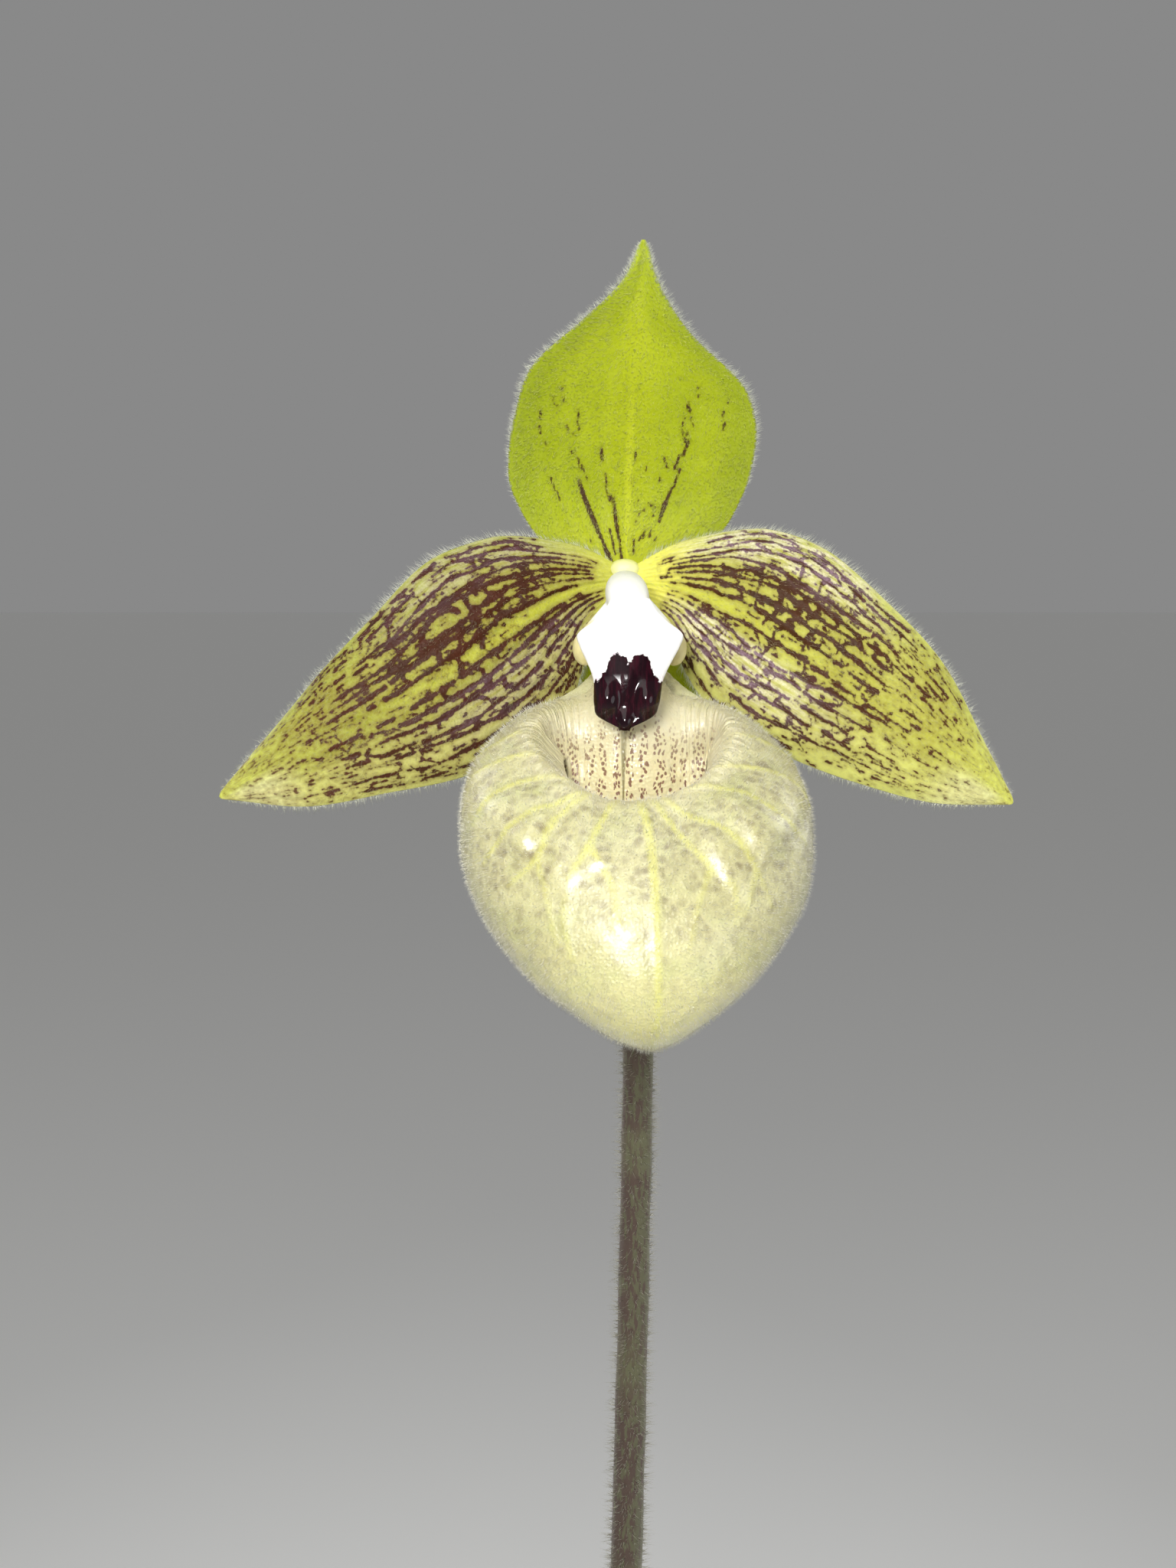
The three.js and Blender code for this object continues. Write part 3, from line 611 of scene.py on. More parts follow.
def petalNet(sheet, seed, upper, bold):
    # The net of marks: lines that fan out from the base, broken up towards the tip, with cross
    # bars between neighbours, heaviest above the midrib, dark knots where they meet, dashes
    # inside the cells and loose dots. upper is the sign of q on the upper side, bold widens all.
    rng = np.random.default_rng(seed)
    runs = []  # rows of s, place across, s, place across, half width, half width
    lines = netPlan["lines"]
    stations = np.linspace(0.03, 0.97, netPlan["stations"])

    def lineAt(k, s):
        s = np.asarray(s, float)
        spread = lerp(0.8, 1.0, smooth(0.0, 0.35, s))
        bends = wobble(s, 0.36, seed * 50 + k) + 0.5 * wobble(s, 0.11, seed * 70 + k)
        bends = bends + 0.3 * wobble(s, 0.045, seed * 80 + k)
        return lines[k] * spread + netPlan["wander"] * bends * smooth(0.05, 0.3, s)

    def heavy(s, up):
        above = bell(s, 0.43, 0.22) * bell(up, 0.36, 0.42) * smooth(0.0, 0.1, up)
        below = 0.5 * bell(s, 0.46, 0.24) * bell(up, -0.3, 0.36) * smooth(0.0, -0.1, up)
        across = 0.7 * bell(s, 0.45, 0.13) * bell(up, 0.04, 0.18)
        return np.maximum(above + below, across)

    def outer(s):
        return float(smooth(0.55, 0.9, s))

    for k, up in enumerate(lines):
        ups = lineAt(k, stations)
        uneven = 1 + 0.32 * wobble(stations, 0.06, seed * 90 + k)
        later = (0.03 if abs(up) < 0.15 else 0.0) + (0.1 if abs(up) > 0.8 else 0.0)
        begin = 0.05 + 0.06 * rng.random() + later
        stop = lerp(0.97, 0.8, abs(up)) - 0.1 * rng.random()
        gap = 0
        for i in range(len(stations) - 1):
            s = stations[i]
            if s < begin or s > stop:
                continue
            loose = lerp(0.02, 0.32, float(smooth(0.45, 0.85, s))) + (0.08 if abs(up) > 0.75 else 0.0)
            loose *= 1 - 0.8 * heavy(s, up)
            if gap == 0 and rng.random() < loose:
                gap = int(rng.integers(1, 4))
            if gap > 0:
                gap -= 1
                continue
            w = (0.055 + 0.08 * smooth(0.04, 0.3, s) + 0.1 * heavy(s, up)) * uneven[i]
            w *= lerp(1.0, 0.6, outer(s))
            runs.append((s, ups[i], stations[i + 1], ups[i + 1], w, w))
    for k in range(len(lines) - 1):
        middle = (lines[k] + lines[k + 1]) / 2
        onMidrib = abs(middle) < 0.05
        s = (0.33 if onMidrib else netPlan["barStart"]) + 0.08 * rng.random()
        while s < netPlan["barEnd"]:
            lean, kink = rng.normal(0, 0.016), rng.normal(0, 0.01)
            a, b = lineAt(k, s), lineAt(k + 1, s + lean)
            up = (a + b) / 2
            strong = heavy(s, up)
            w = (0.085 + 0.14 * strong) * rng.uniform(0.5, 1.6) * lerp(1.0, 0.6, outer(s))
            if up < 0 and s < 0.42:
                w *= 0.7
            if rng.random() < lerp(0.55, 0.97, min(1, strong)) * lerp(1.0, 0.55, outer(s)):
                runs.append((s, a, s + lean / 2 + kink, up, w, w * 0.8))
                if rng.random() < 0.8:
                    runs.append((s + lean / 2 + kink, up, s + lean, b, w * 0.8, w))
                if rng.random() < 0.25 + 0.4 * strong:
                    knot = w + rng.uniform(0.04, 0.06 + 0.16 * strong)
                    runs.append((s, a, s + rng.uniform(0.004, 0.018), a, knot, knot * 0.6))
            s += lerp(0.078, 0.044, min(1, strong)) * rng.uniform(0.7, 1.3)
        for s in np.arange(0.2, 0.93, 0.018):  # dashes inside the cells
            if rng.random() < 0.42 and (not onMidrib or s > 0.3):
                at = s + rng.uniform(0, 0.02)
                up = lerp(lineAt(k, at), lineAt(k + 1, at), rng.uniform(0.3, 0.7))
                w = rng.uniform(0.05, 0.13)
                runs.append((at, up, at + rng.uniform(0.002, 0.02), up, w, w * 0.7))
    for _ in range(netPlan["dots"]):
        s, up = rng.uniform(0.2, 0.985), rng.uniform(-0.97, 0.97)
        w = rng.uniform(0.02, 0.1)
        if (abs(up) > 0.09 or s > 0.34) and rng.random() > 0.55 * smooth(0.75, 1, s):
            runs.append((s, up, s + rng.uniform(0, 0.01), up, w, w))
    rows = np.array(runs, float)
    rows[:, [1, 3]] *= upper
    rows[:, [0, 2]] = np.clip(rows[:, [0, 2]], 0, 1)
    starts, ends = sheet(rows[:, 0], rows[:, 1]), sheet(rows[:, 2], rows[:, 3])
    return list(zip(starts, ends, rows[:, 4] * bold, rows[:, 5] * bold))


closeUp = {
    # where the streaks were read: the close-up's upper left corner in the photograph, how much
    # it is enlarged, and the photograph's middle and focal length, in photo pixels
    "corner": (650, 300),
    "enlarged": 900 / 460,
    "middle": (768, 1024),
    "focal": 2200,
    "pixelsPerMm": 12.9,
    # how far the sepal lies behind the flower's centre in mm, and where and how it leans forwards
    "sepalBack": 3.9,
    "leanFrom": 9.0,
    "lean": 0.33,
    "firstDepth": 173.0,
    "rounds": 3,
}
dorsalStreaks = [
    # width, then places (across, down), read in pixels of the close-up
    (5, (204, 583), (211, 612)),
    (4, (214, 600), (229, 642)),
    (9, (208, 640), (222, 690), (243, 742), (266, 795)),
    (6, (266, 795), (278, 825), (292, 852)),
    (4, (286, 768), (300, 832)),
    (8, (263, 556), (265, 590)),
    (5, (273, 618), (278, 650)),
    (6, (275, 655), (282, 690)),
    (6, (293, 678), (300, 740), (309, 800)),
    (5, (310, 800), (316, 852)),
    (5, (137, 635), (146, 667)),
    (4, (151, 670), (158, 693)),
    (3, (165, 404), (168, 411)),
    (3, (143, 430), (146, 446)),
    (3, (166, 430), (170, 441)),
    (3, (152, 450), (153, 454)),
    (5, (204, 461), (206, 476)),
    (5, (205, 489), (207, 511)),
    (5, (178, 499), (180, 513)),
    (3, (192, 519), (194, 524)),
    (4, (110, 464), (112, 486)),
    (4, (108, 500), (112, 520)),
    (3, (120, 540), (125, 551)),
    (3, (188, 564), (192, 573)),
    (4, (480, 439), (477, 461)),
    (4, (483, 453), (486, 466)),
    (4, (488, 480), (492, 501)),
    (4, (470, 480), (467, 501)),
    (5, (466, 510), (472, 532)),
    (5, (481, 518), (474, 541)),
    (9, (483, 541), (468, 577)),
    (6, (461, 575), (452, 601)),
    (6, (460, 611), (445, 657)),
    (7, (440, 660), (424, 705), (409, 747)),
    (3, (505, 404), (506, 408)),
    (3, (505, 424), (504, 429)),
    (6, (423, 582), (430, 606)),
    (4, (445, 594), (448, 611)),
    (5, (412, 634), (410, 643)),
    (4, (375, 604), (378, 613)),
    (3, (350, 570), (352, 591)),
    (4, (568, 469), (566, 481)),
    (5, (570, 499), (566, 513)),
    (3, (577, 440), (578, 446)),
    (4, (385, 700), (388, 704)),
    (4, (398, 704), (399, 710)),
    (4, (372, 714), (370, 720)),
    (4, (361, 724), (359, 730)),
    (3, (350, 744), (351, 749)),
    (4, (395, 729), (392, 735)),
    (4, (376, 768), (368, 792)),
    (4, (389, 769), (384, 787)),
    (5, (346, 795), (343, 832)),
    (3, (355, 690), (357, 694)),
    (4, (362, 784), (359, 800)),
    (3, (402, 788), (398, 797)),
    (3, (236, 794), (240, 800)),
    (4, (298, 700), (292, 690)),
    (3, (340, 640), (342, 648)),
]


def sepalPlace(across, down):
    # A place in the close-up as (x, z) on the sepal, in mm from the flower's centre: each round
    # brings the ray's depth nearer to the sepal's
    left, front, low = view["fromFlower"]
    tilt = math.radians(view["tiltDown"])
    right = closeUp["corner"][0] + across / closeUp["enlarged"] - closeUp["middle"][0]
    up = closeUp["middle"][1] - (closeUp["corner"][1] + down / closeUp["enlarged"])
    depth = closeUp["firstDepth"]
    for _ in range(closeUp["rounds"]):
        z = low + depth * math.tan(math.atan(up / closeUp["focal"]) - tilt)
        forwards = closeUp["lean"] * max(0.0, z - closeUp["leanFrom"])
        depth = closeUp["sepalBack"] - forwards - front
    x = right / closeUp["focal"] * depth / math.cos(tilt) + left
    return round(x, 1), round(z, 1)


def streakMarks():
    # The streaks as marks in the plane y = 0, which the sepal's points are dropped onto
    marks = []
    for width, *places in dorsalStreaks:
        half = round(width / closeUp["enlarged"] / 2 / closeUp["pixelsPerMm"], 2)
        spots = [vec(x, 0.0, z) for x, z in (sepalPlace(*place) for place in places)]
        last = len(spots) - 1
        for i, (a, b) in enumerate(zip(spots[:-1], spots[1:])):
            ends = [0.05 + 1.5 * half * lerp(1, 0.45, abs(2 * (i + e) / last - 1)) for e in (0, 1)]
            marks.append((a, b, *ends))
    return marks


def petalPaint(name, look):
    # Ground colours along and across, the dark marks cut from the stored distance with a
    # ragged edge, and a silvery bloom in broad bands, partly painted sheen, that pales ground and marks alike
    paint = Paint(name)
    up, s = paint.sheet()
    at = paint.place()
    side = paint.step(-0.2, 0.2, paint.value("face"))
    edge = abs(up)
    broad = paint.noise(at, 7.0, 2.0)
    ragged = paint.noise(at, look["ragged"], 3.0, 0.62)
    swing = paint.noise(at, 1.3, 2.0)
    gap = paint.value("net") + (ragged - 0.5) * look["jag"] + (swing - 0.5) * look["swing"]
    gap = gap + paint.step(0.58, 0.97, s) * look["tipShrink"]
    mark = paint.step(0.07, -0.07, gap) * (1 - paint.step(0.8, 1.0, s) * look["tipFade"])
    halo = paint.step(0.42, 0.0, gap) * look["halo"]
    ground = paint.mix(paint.step(0.35, 0.7, broad), look["ground"], look["groundLight"])
    # brighter down the middle, the margins in their own colour; on the sepal the bright middle and darker
    # margins are partly painted shade
    ground = paint.mix(paint.step(0.45, 0.0, edge) * look["centreGlow"], ground, look["centre"])
    ground = paint.mix(paint.step(0.6, 1.0, edge) * 0.75, ground, look["margin"])
    # towards the tip the ground turns paler, partly as painted sheen; a whitish patch below the middle near the
    # tip is painted sheen
    lowTip = paint.step(-0.1, -0.6, up) * paint.step(0.55, 0.8, s) * look["lowTip"]
    ground = paint.mix(paint.most(paint.step(0.74, 0.97, s) * 0.8, lowTip), ground, look["tip"])
    tipSheen = paint.step(0.1, -0.35, up) * paint.step(0.8, 0.9, s) * paint.step(0.99, 0.94, s)
    ground = paint.mix(tipSheen * look["tipSheen"], ground, look["tipSheenColour"])
    ground = paint.mix(paint.step(0.24, 0.02, s) * 0.85, ground, look["base"])
    low = paint.step(-0.12, -0.6, up) * paint.step(0.1, 0.3, s)
    ground = paint.mix(low * look["lowGlow"], ground, look["low"])
    midrib = paint.step(look["midribWidth"], 0.01, edge) * paint.step(0.75, 0.3, s)
    ground = paint.mix(midrib * look["midribGlow"], ground, look["midrib"])
    cells = paint.cells(at, 0.32, "F1", 0.9)
    ground = paint.mix(paint.step(0.25, 0.7, cells) * 0.12, ground, look["pale"])
    front = paint.mix(halo, ground, look["haloColour"])
    deep = paint.mix(paint.noise(at, 1.6, 2.0), look["mark"], look["markLight"])
    deep = paint.mix(paint.step(0.55, 0.95, s) * 0.6, deep, look["markTip"])
    front = paint.mix(mark * look["marks"], front, deep)
    # the bloom, partly painted sheen, lies along the upper margin and along a band below the middle
    length = paint.step(0.06, 0.2, s) * paint.step(0.7, 0.45, s)
    upperBand = paint.step(0.42, 0.75, up) * paint.step(1.05, 0.96, up)
    lowerBand = paint.step(-0.12, -0.3, up) * paint.step(-0.85, -0.5, up)
    streaks = paint.noise(paint.vector(up * 26.0, s * 16.0), 1.0, 3.0, 0.6)
    grains = paint.step(0.3, 0.7, paint.noise(at, 0.22, 2.0))
    bloomAndSheen = (upperBand * look["bloomAndSheenUp"] + lowerBand * look["bloomAndSheenLow"]) * length
    bloomAndSheen = bloomAndSheen * paint.step(0.34, 0.62, streaks) * (grains * 0.5 + 0.5)
    front = paint.mix(bloomAndSheen, front, paint.mix(mark, look["bloomAndSheenGround"], look["bloomAndSheenMark"]))
    rear = paint.mix(broad, look["rear"], look["rearLight"])
    rear = paint.mix(mark * look["rearMarks"], rear, look["markLight"])
    ribs = paint.maths("COSINE", up * 44.0) * paint.step(0.95, 0.6, s)
    height = paint.noise(at, 0.8, 3.0) * 0.7 + cells * 0.4 + ribs * look["ribs"] + mark * 0.2
    paint.finish({
        "Base Color": paint.mix(side, rear, front),
        "Roughness": 0.52 - mark * 0.06 - bloomAndSheen * 0.2 + (broad - 0.5) * 0.12,
        "Normal": paint.bump(height, 0.1),
        "Sheen Weight": look["sheen"],
        "Sheen Roughness": 0.45,
        "Subsurface Weight": 0.1,
        "Subsurface Radius": (0.0012, 0.0012, 0.0005),
        "Subsurface Scale": 1.0,
        "Specular IOR Level": 0.14,
    })
    return paint


petalLook = {
    "ragged": 0.4, "jag": 0.44, "swing": 0.4, "midribWidth": 0.08,
    "marks": 0.95, "halo": 0.4, "rearMarks": 0.3, "tipFade": 0.4, "tipShrink": 0.11,
    "sheen": 0.03, "ribs": 0.12, "centreGlow": 0.2, "lowTip": 0.5, "lowGlow": 0.5,
    "tipSheen": 0.6, "tipSheenColour": rgb(255, 252, 200),
    "midribGlow": 0.6, "bloomAndSheenUp": 0.42, "bloomAndSheenLow": 0.4,
    "ground": rgb(154, 153, 56), "groundLight": rgb(172, 172, 68), "margin": rgb(160, 166, 68),
    "low": rgb(216, 208, 132),
    "tip": rgb(216, 222, 104), "base": rgb(204, 204, 82), "midrib": rgb(204, 206, 60),
    "centre": rgb(180, 182, 46), "pale": rgb(222, 222, 152), "haloColour": rgb(122, 90, 46),
    "mark": rgb(42, 5, 6), "markLight": rgb(80, 20, 19), "markTip": rgb(92, 42, 34),
    "bloomAndSheenGround": rgb(226, 218, 192), "bloomAndSheenMark": rgb(136, 108, 126),
    "rear": rgb(176, 180, 90), "rearLight": rgb(190, 192, 104),
}
# the right petal takes the left's look with a paler, yellower ground and stronger bloom, partly painted light
petalLookRight = {
    **petalLook,
    "halo": 0.3, "bloomAndSheenUp": 0.85, "bloomAndSheenLow": 0.85, "lowGlow": 0.35,
    "ground": rgb(186, 184, 76), "groundLight": rgb(202, 202, 92), "margin": rgb(194, 198, 96),
    "low": rgb(224, 218, 140),
    "tip": rgb(232, 238, 112), "base": rgb(246, 240, 104), "centre": rgb(202, 200, 62),
    "bloomAndSheenGround": rgb(250, 242, 216), "bloomAndSheenMark": rgb(164, 134, 152),
}
sepalLook = {
    "ragged": 0.26, "jag": 0.42, "swing": 0.12, "midribWidth": 0.045,
    "marks": 0.95, "halo": 0.2, "rearMarks": 0.2, "tipFade": 0.0, "tipShrink": 0.0,
    "sheen": 0.08, "ribs": 0.03, "centreGlow": 0.45, "lowTip": 0.0, "lowGlow": 0.0,
    "tipSheen": 0.0, "tipSheenColour": rgb(200, 208, 80),
    "midribGlow": 0.5, "bloomAndSheenUp": 0.0, "bloomAndSheenLow": 0.0,
    # the sepal's brighter centre and darker margin colours are partly painted shade
    "ground": rgb(156, 169, 14), "groundLight": rgb(168, 180, 22), "margin": rgb(142, 157, 28),
    "low": rgb(160, 170, 30),
    "tip": rgb(172, 186, 38), "base": rgb(186, 192, 40), "midrib": rgb(206, 212, 44),
    "centre": rgb(186, 194, 20),
    "pale": rgb(200, 208, 80), "haloColour": rgb(122, 118, 26),
    "mark": rgb(46, 16, 16), "markLight": rgb(76, 34, 26), "markTip": rgb(86, 48, 34),
    "bloomAndSheenGround": rgb(200, 206, 120), "bloomAndSheenMark": rgb(120, 100, 90),
    "rear": rgb(150, 164, 56), "rearLight": rgb(166, 178, 70),
}
sepalColours = petalPaint("sepal", sepalLook)
coats = {
    "petal_left": petalPaint("petalLeft", petalLook),
    "petal_right": petalPaint("petalRight", petalLookRight),
    "dorsal_sepal": sepalColours,
    "synsepal": sepalColours,
}
down = {
    # hairs on the faces and along the margins: counts, lengths and radii in mm
    "petal_left": (5600, 2000), "petal_right": (5600, 2000),
    "dorsal_sepal": (10500, 1900), "synsepal": (2600, 900),
    "faceRadius": 0.015, "sepalRadius": 0.022, "fringeRadius": 0.018,
}
petalDown = hairPaint("petalDown", rgb(206, 202, 160))
sepalDown = hairPaint("sepalDown", rgb(226, 232, 140))
fringe = hairPaint("fringe", rgb(238, 240, 220))
boldness = {"petal_left": 1.34, "petal_right": 1.12}
upperSide = {"petal_left": 1, "petal_right": -1, "dorsal_sepal": 1, "synsepal": 1}
meshSize = {  # rows and columns
    "petal_left": (260, 180), "petal_right": (260, 180),
    "dorsal_sepal": (170, 150), "synsepal": (80, 80),
}

for index, (name, shape) in enumerate(shapes.items()):
    isPetal = name.startswith("petal")
    sheet = petalSheet(shape)
    ribs, crinkled = ("ribs", "crinkle") if isPetal else ("sepalRibs", "sepalCrinkle")
    rings, middle, s, q, face = bladeRings(
        sheet,
        lambda s, q: petals["thickness"] * lerp(1, 0.7, q**4),
        petalRelief(20 + index, petals[ribs], petals[crinkled]),
        *meshSize[name],
        frontShare=0.68,
    )
    flat = middle.reshape(-1, 3)
    if isPetal:
        gap = markGap(flat, petalNet(sheet, 5 + index, upperSide[name], boldness[name]))
    elif name == "dorsal_sepal":
        gap = markGap((flat - flowerAt) * [1, 0, 1], streakMarks())
    else:
        gap = np.full(len(flat), farGap)
    values = {"net": gap.reshape(s.shape), "face": face + 0 * s}
    points, faces, corners, ends = loft(rings, closeWrap(q * upperSide[name]), closeWrap(s), values)
    mesh = makeMesh(name, points, faces, corners, ends)
    slot = "petal" if isPetal else "sepal"
    place(name + "_skin", mesh, coats[name], slot, (name,))

    # down over both faces, swept towards the tip, then a fringe along the margins
    rng = np.random.default_rng(70 + index)
    across, along = np.meshgrid(np.linspace(-0.98, 0.98, 60), np.linspace(0.03, 0.99, 110))
    ground, normal = sheet(along, across), sheetNormal(sheet, along, across)
    run = unit(sheet(np.minimum(along + 0.01, 1), across) - sheet(np.maximum(along - 0.01, 0), across))
    onFace, onMargin = down[name]
    at, out, read = scatterOn(ground, normal, 1 + 0 * along, onFace, rng)
    faceSign = np.where(rng.random(onFace) < petals["frontHairs"], 1.0, -1.0)[:, None]
    aims = out * faceSign * 0.7 + read(run) * 0.7 + rng.normal(0, 0.16, (onFace, 3)) + [0.22, 0, -0.1]
    lengths = petals["hairLength"] * rng.uniform(0.6, 1.3, onFace)
    radius = down["faceRadius"] if isPetal else down["sepalRadius"]
    shorts = spikes(at + out * faceSign * petals["hairFoot"], aims, lengths, radius)
    place(name + "_down", makeMesh(name + "_down", *shorts), petalDown if isPetal else sepalDown, slot)
    rimS = rng.random(onMargin) ** (0.9 if isPetal else 0.55) * 0.97 + 0.02
    if name == "synsepal":
        rimS = np.maximum(rimS, 0.3)
    rimQ = np.where(rng.random(onMargin) < 0.5, -1.0, 1.0)
    rim = sheet(rimS, rimQ)
    outward = unit(rim - sheet(rimS, rimQ * 0.96))
    forward = unit(sheet(np.minimum(rimS + 0.01, 1), rimQ) - sheet(np.maximum(rimS - 0.01, 0), rimQ))
    aims = outward + forward * 0.35 + rng.normal(0, 0.24, (onMargin, 3))
    lengths = petals["marginHair"] * rng.uniform(0.45, 1.2, onMargin) * lerp(1, 0.6, smooth(0.85, 1, rimS))
    if not isPetal:
        lengths = lengths * lerp(0.5, 0.9, smooth(0.3, 0.65, rimS))
    depth = rng.uniform(-0.3, 0.3, (onMargin, 1)) * sheetNormal(sheet, rimS, rimQ * 0.98)
    longs = spikes(rim + depth - outward * 0.08, aims, lengths, down["fringeRadius"])
    place(name + "_fringe", makeMesh(name + "_fringe", *longs), fringe, slot)
print("stage: sepals and petals")


# The lip: an inflated pouch

lip = {
    "half": [0, 4.4, 10.4, 14.95, 16.6, 15.9, 13.0, 9.7, 7.0],
    "forward": [20.6, 21.2, 19.4, 16.0, 13.7, 12.9, 12.0, 11.6, 11.0],
    "depth": [0, 5.6, 10.8, 13.9, 14.4, 13.1, 10.9, 8.2, 5.9],
    "z": [-44.6, -42.0, -37.6, -31.9, -26.2, -20.6, -17.4, -16.2, -18.7],
    "tilt": [0, 0, 0, -0.6, -2.2, -4.4, -5.0, -4.2, -4.7],
    "bow": [0, 0, 0, 0, 0, -0.2, -0.4, -1.1, -0.7],
    "bulge": [0, 0.4, 2.6, 5.6, 7.6, 8.0, 4.9, 0.8, -0.2],
    "claw": [0, 0, 0, 0, 0, 0.8, 3.7, 8.1, 6.4],
    "skew": [1.8, 1.25, 0.95, 0.75, 0.6, 0.4, 0.2, 0.1, 0.5],
    "wall": 0.9,
    "rows": 190,
    "innerRows": 80,
    "cols": 236,
    "veinHeight": 0.09,
    "hairs": 34000,
    "hairLength": 0.5,
    "hairRadius": 0.02,
    "rimRings": 7,
}
throat = {
    # its back wall hangs from the crest, in front of the pouch's own back
    "crest": 0.875, "half": 7.1, "skew": 0.7, "deep": -26.0, "lift": 7.0, "back": 8.4,
    "forward": 2.2, "swell": 3.4, "roll": 1.5, "seam": -0.6, "ends": (1.0, 1.75),
}


def lipBody(v, turn):
    # Each level is a ring round the pouch: width sin turn to the side, middle + depth cos turn
    # forward, with a bulge and a raised claw that fade away from the back
    away = np.abs(np.abs(turn) - math.pi)
    rear, narrow = np.exp(-(away**2) / 0.5), np.exp(-(away**2) / 0.16)
    c = np.cos(turn)
    width = through(lip["half"], v) * (1 - 0.3 * rear * smooth(0.7, 0.88, v))
    forward = through(lip["forward"], v) + through(lip["depth"], v) * c + through(lip["bulge"], v) * rear
    swing = through(lip["tilt"], v) * c + through(lip["bow"], v) * np.cos(2 * turn)
    z = through(lip["z"], v) + swing + through(lip["claw"], v) * narrow
    return flowerAt + vec(through(lip["skew"], v) + width * np.sin(turn), -forward, z)


def hangs(turn):
    # 1 at the back, where the throat's wall hangs, to 0 at the sides and front
    return smooth(throat["ends"][1], throat["ends"][0], np.abs(np.abs(turn) - math.pi))


def lipPoint(v, turn):
    # The body up to the crest; past it, at the back, crest (1 - w) + foot w with a swell
    # forward, which is the throat's wall, and elsewhere the body's rolled rim
    away = np.abs(np.abs(turn) - math.pi)
    w = np.clip((v - throat["crest"]) / (1 - throat["crest"]), 0, 1)
    crest = lipBody(np.minimum(v, throat["crest"]), turn)
    side = throat["skew"] + np.sign(turn) * throat["half"] * np.abs(np.sin(away)) ** 0.7
    forward = throat["back"] + throat["forward"] * smooth(0.8, 1.7, away)
    foot = flowerAt + vec(side, -forward, throat["deep"] + throat["lift"] * smooth(0.3, 1.6, away))
    wall = lerp(crest, foot, w[..., None])
    roll = np.clip(w / 0.5, 0, 1)
    swell = throat["swell"] * np.exp(-(away**2) / 0.5) * 4 * w * (1 - w)
    over = throat["roll"] * 4 * roll * (1 - roll)
    wall = wall + vec(0, -swell - over, over)
    return lerp(lipBody(v, turn), wall, (hangs(turn) * (v > throat["crest"]))[..., None])


def skinNormal(surface, v, turn):
    # Points out of the pouch's wall
    step = 1e-3
    along = surface(np.minimum(v + step, 1), turn) - surface(np.maximum(v - step, 0), turn)
    around = surface(v, turn + step) - surface(v, turn - step)
    return unit(np.cross(around, along))


lipVeins = [
    # half width, then (degrees from the front, level) along each vein
    (0.2, (3, 0.87), (4, 0.75), (4, 0.62), (4, 0.46), (5, 0.33), (7, 0.185), (10, 0.06)),
    (0.1, (-8, 0.87), (-12, 0.77), (-16, 0.64), (-20, 0.56), (-25, 0.43), (-27, 0.33)),
    (0.1, (-22, 0.86), (-30, 0.72), (-33, 0.57), (-45, 0.48)),
    (0.1, (-20, 0.88), (-27, 0.83), (-40, 0.69), (-50, 0.58), (-58, 0.51)),
    (0.1, (-38, 0.88), (-50, 0.8), (-60, 0.7), (-65, 0.62)),
    (0.08, (-62, 0.86), (-74, 0.76), (-84, 0.66)),
    (0.08, (-84, 0.84), (-96, 0.7), (-106, 0.58)),
    (0.1, (9, 0.86), (15, 0.68), (22, 0.56), (29, 0.49), (32, 0.4)),
    (0.1, (14, 0.87), (22, 0.73), (31, 0.65), (37, 0.53), (46, 0.43)),
    (0.1, (26, 0.88), (38, 0.82), (49, 0.7), (57, 0.61), (68, 0.54)),
    (0.08, (50, 0.87), (63, 0.78), (76, 0.68), (84, 0.58)),
    (0.08, (80, 0.85), (95, 0.7), (104, 0.58)),
    (0.05, (-16, 0.64), (-9, 0.52), (-8, 0.4)),
    (0.05, (-33, 0.57), (-30, 0.46), (-31, 0.36)),
    (0.05, (22, 0.56), (17, 0.45), (16, 0.36)),
    (0.05, (37, 0.53), (34, 0.42)),
]

lipFolds = [
    # start and end (x, z) from the flower's centre, steepness of the side that faces down and in
    ((5.0, -23.4), (8.9, -28.9), 0.72),
    ((8.0, -21.8), (10.8, -25.8), 0.86),
    ((-7.2, -22.9), (-9.9, -25.6), 0.66),
    ((-4.4, -26.8), (-6.4, -28.9), 0.3),
    ((-2.2, -26.0), (-3.9, -26.7), 0.36),
]


def foldRelief(x, z):
    # Each fold rises as a smooth step across its line, towards the outer and upper side, and
    # sinks back over eight millimetres; it fades at both ends
    total = 0 * x
    for start, end, steep in lipFolds:
        runX, runZ = end[0] - start[0], end[1] - start[1]
        size = math.hypot(runX, runZ)
        along = ((x - start[0]) * runX + (z - start[1]) * runZ) / size**2
        outward = math.copysign(1, start[0]) / size
        across = ((x - start[0]) * -runZ + (z - start[1]) * runX) * outward
        shape = smooth(-0.65, 0.65, across) * smooth(9.0, 1.0, across)
        total = total + steep * 0.87 * shape * smooth(-0.35, 0.2, along) * smooth(1.35, 0.8, along)
    return total


def veinMarks():
    marks = []
    for width, *places in lipVeins:
        turns, levels = np.array(places, float).T
        t = np.linspace(0, 1, 5 * len(places))
        line = lipPoint(through(levels, t), np.radians(through(turns, t)))
        taper = width * lerp(1.0, 0.35, t)
        marks += list(zip(line[:-1], line[1:], taper[:-1], taper[1:]))
    return marks


def lipGrid(levels, cols):
    turn = -math.pi + 2 * math.pi * np.arange(cols) / cols
    return np.broadcast_arrays(levels[:, None], turn[None])


# levels closer together at the toe and over the crest
levels = through([0.012, 0.28, 0.55, 0.78, 0.92, 1.0], np.linspace(0, 1, lip["rows"]))
outerV, outerTurn = lipGrid(levels, lip["cols"])
outer, outerNormal = lipPoint(outerV, outerTurn), skinNormal(lipPoint, outerV, outerTurn)
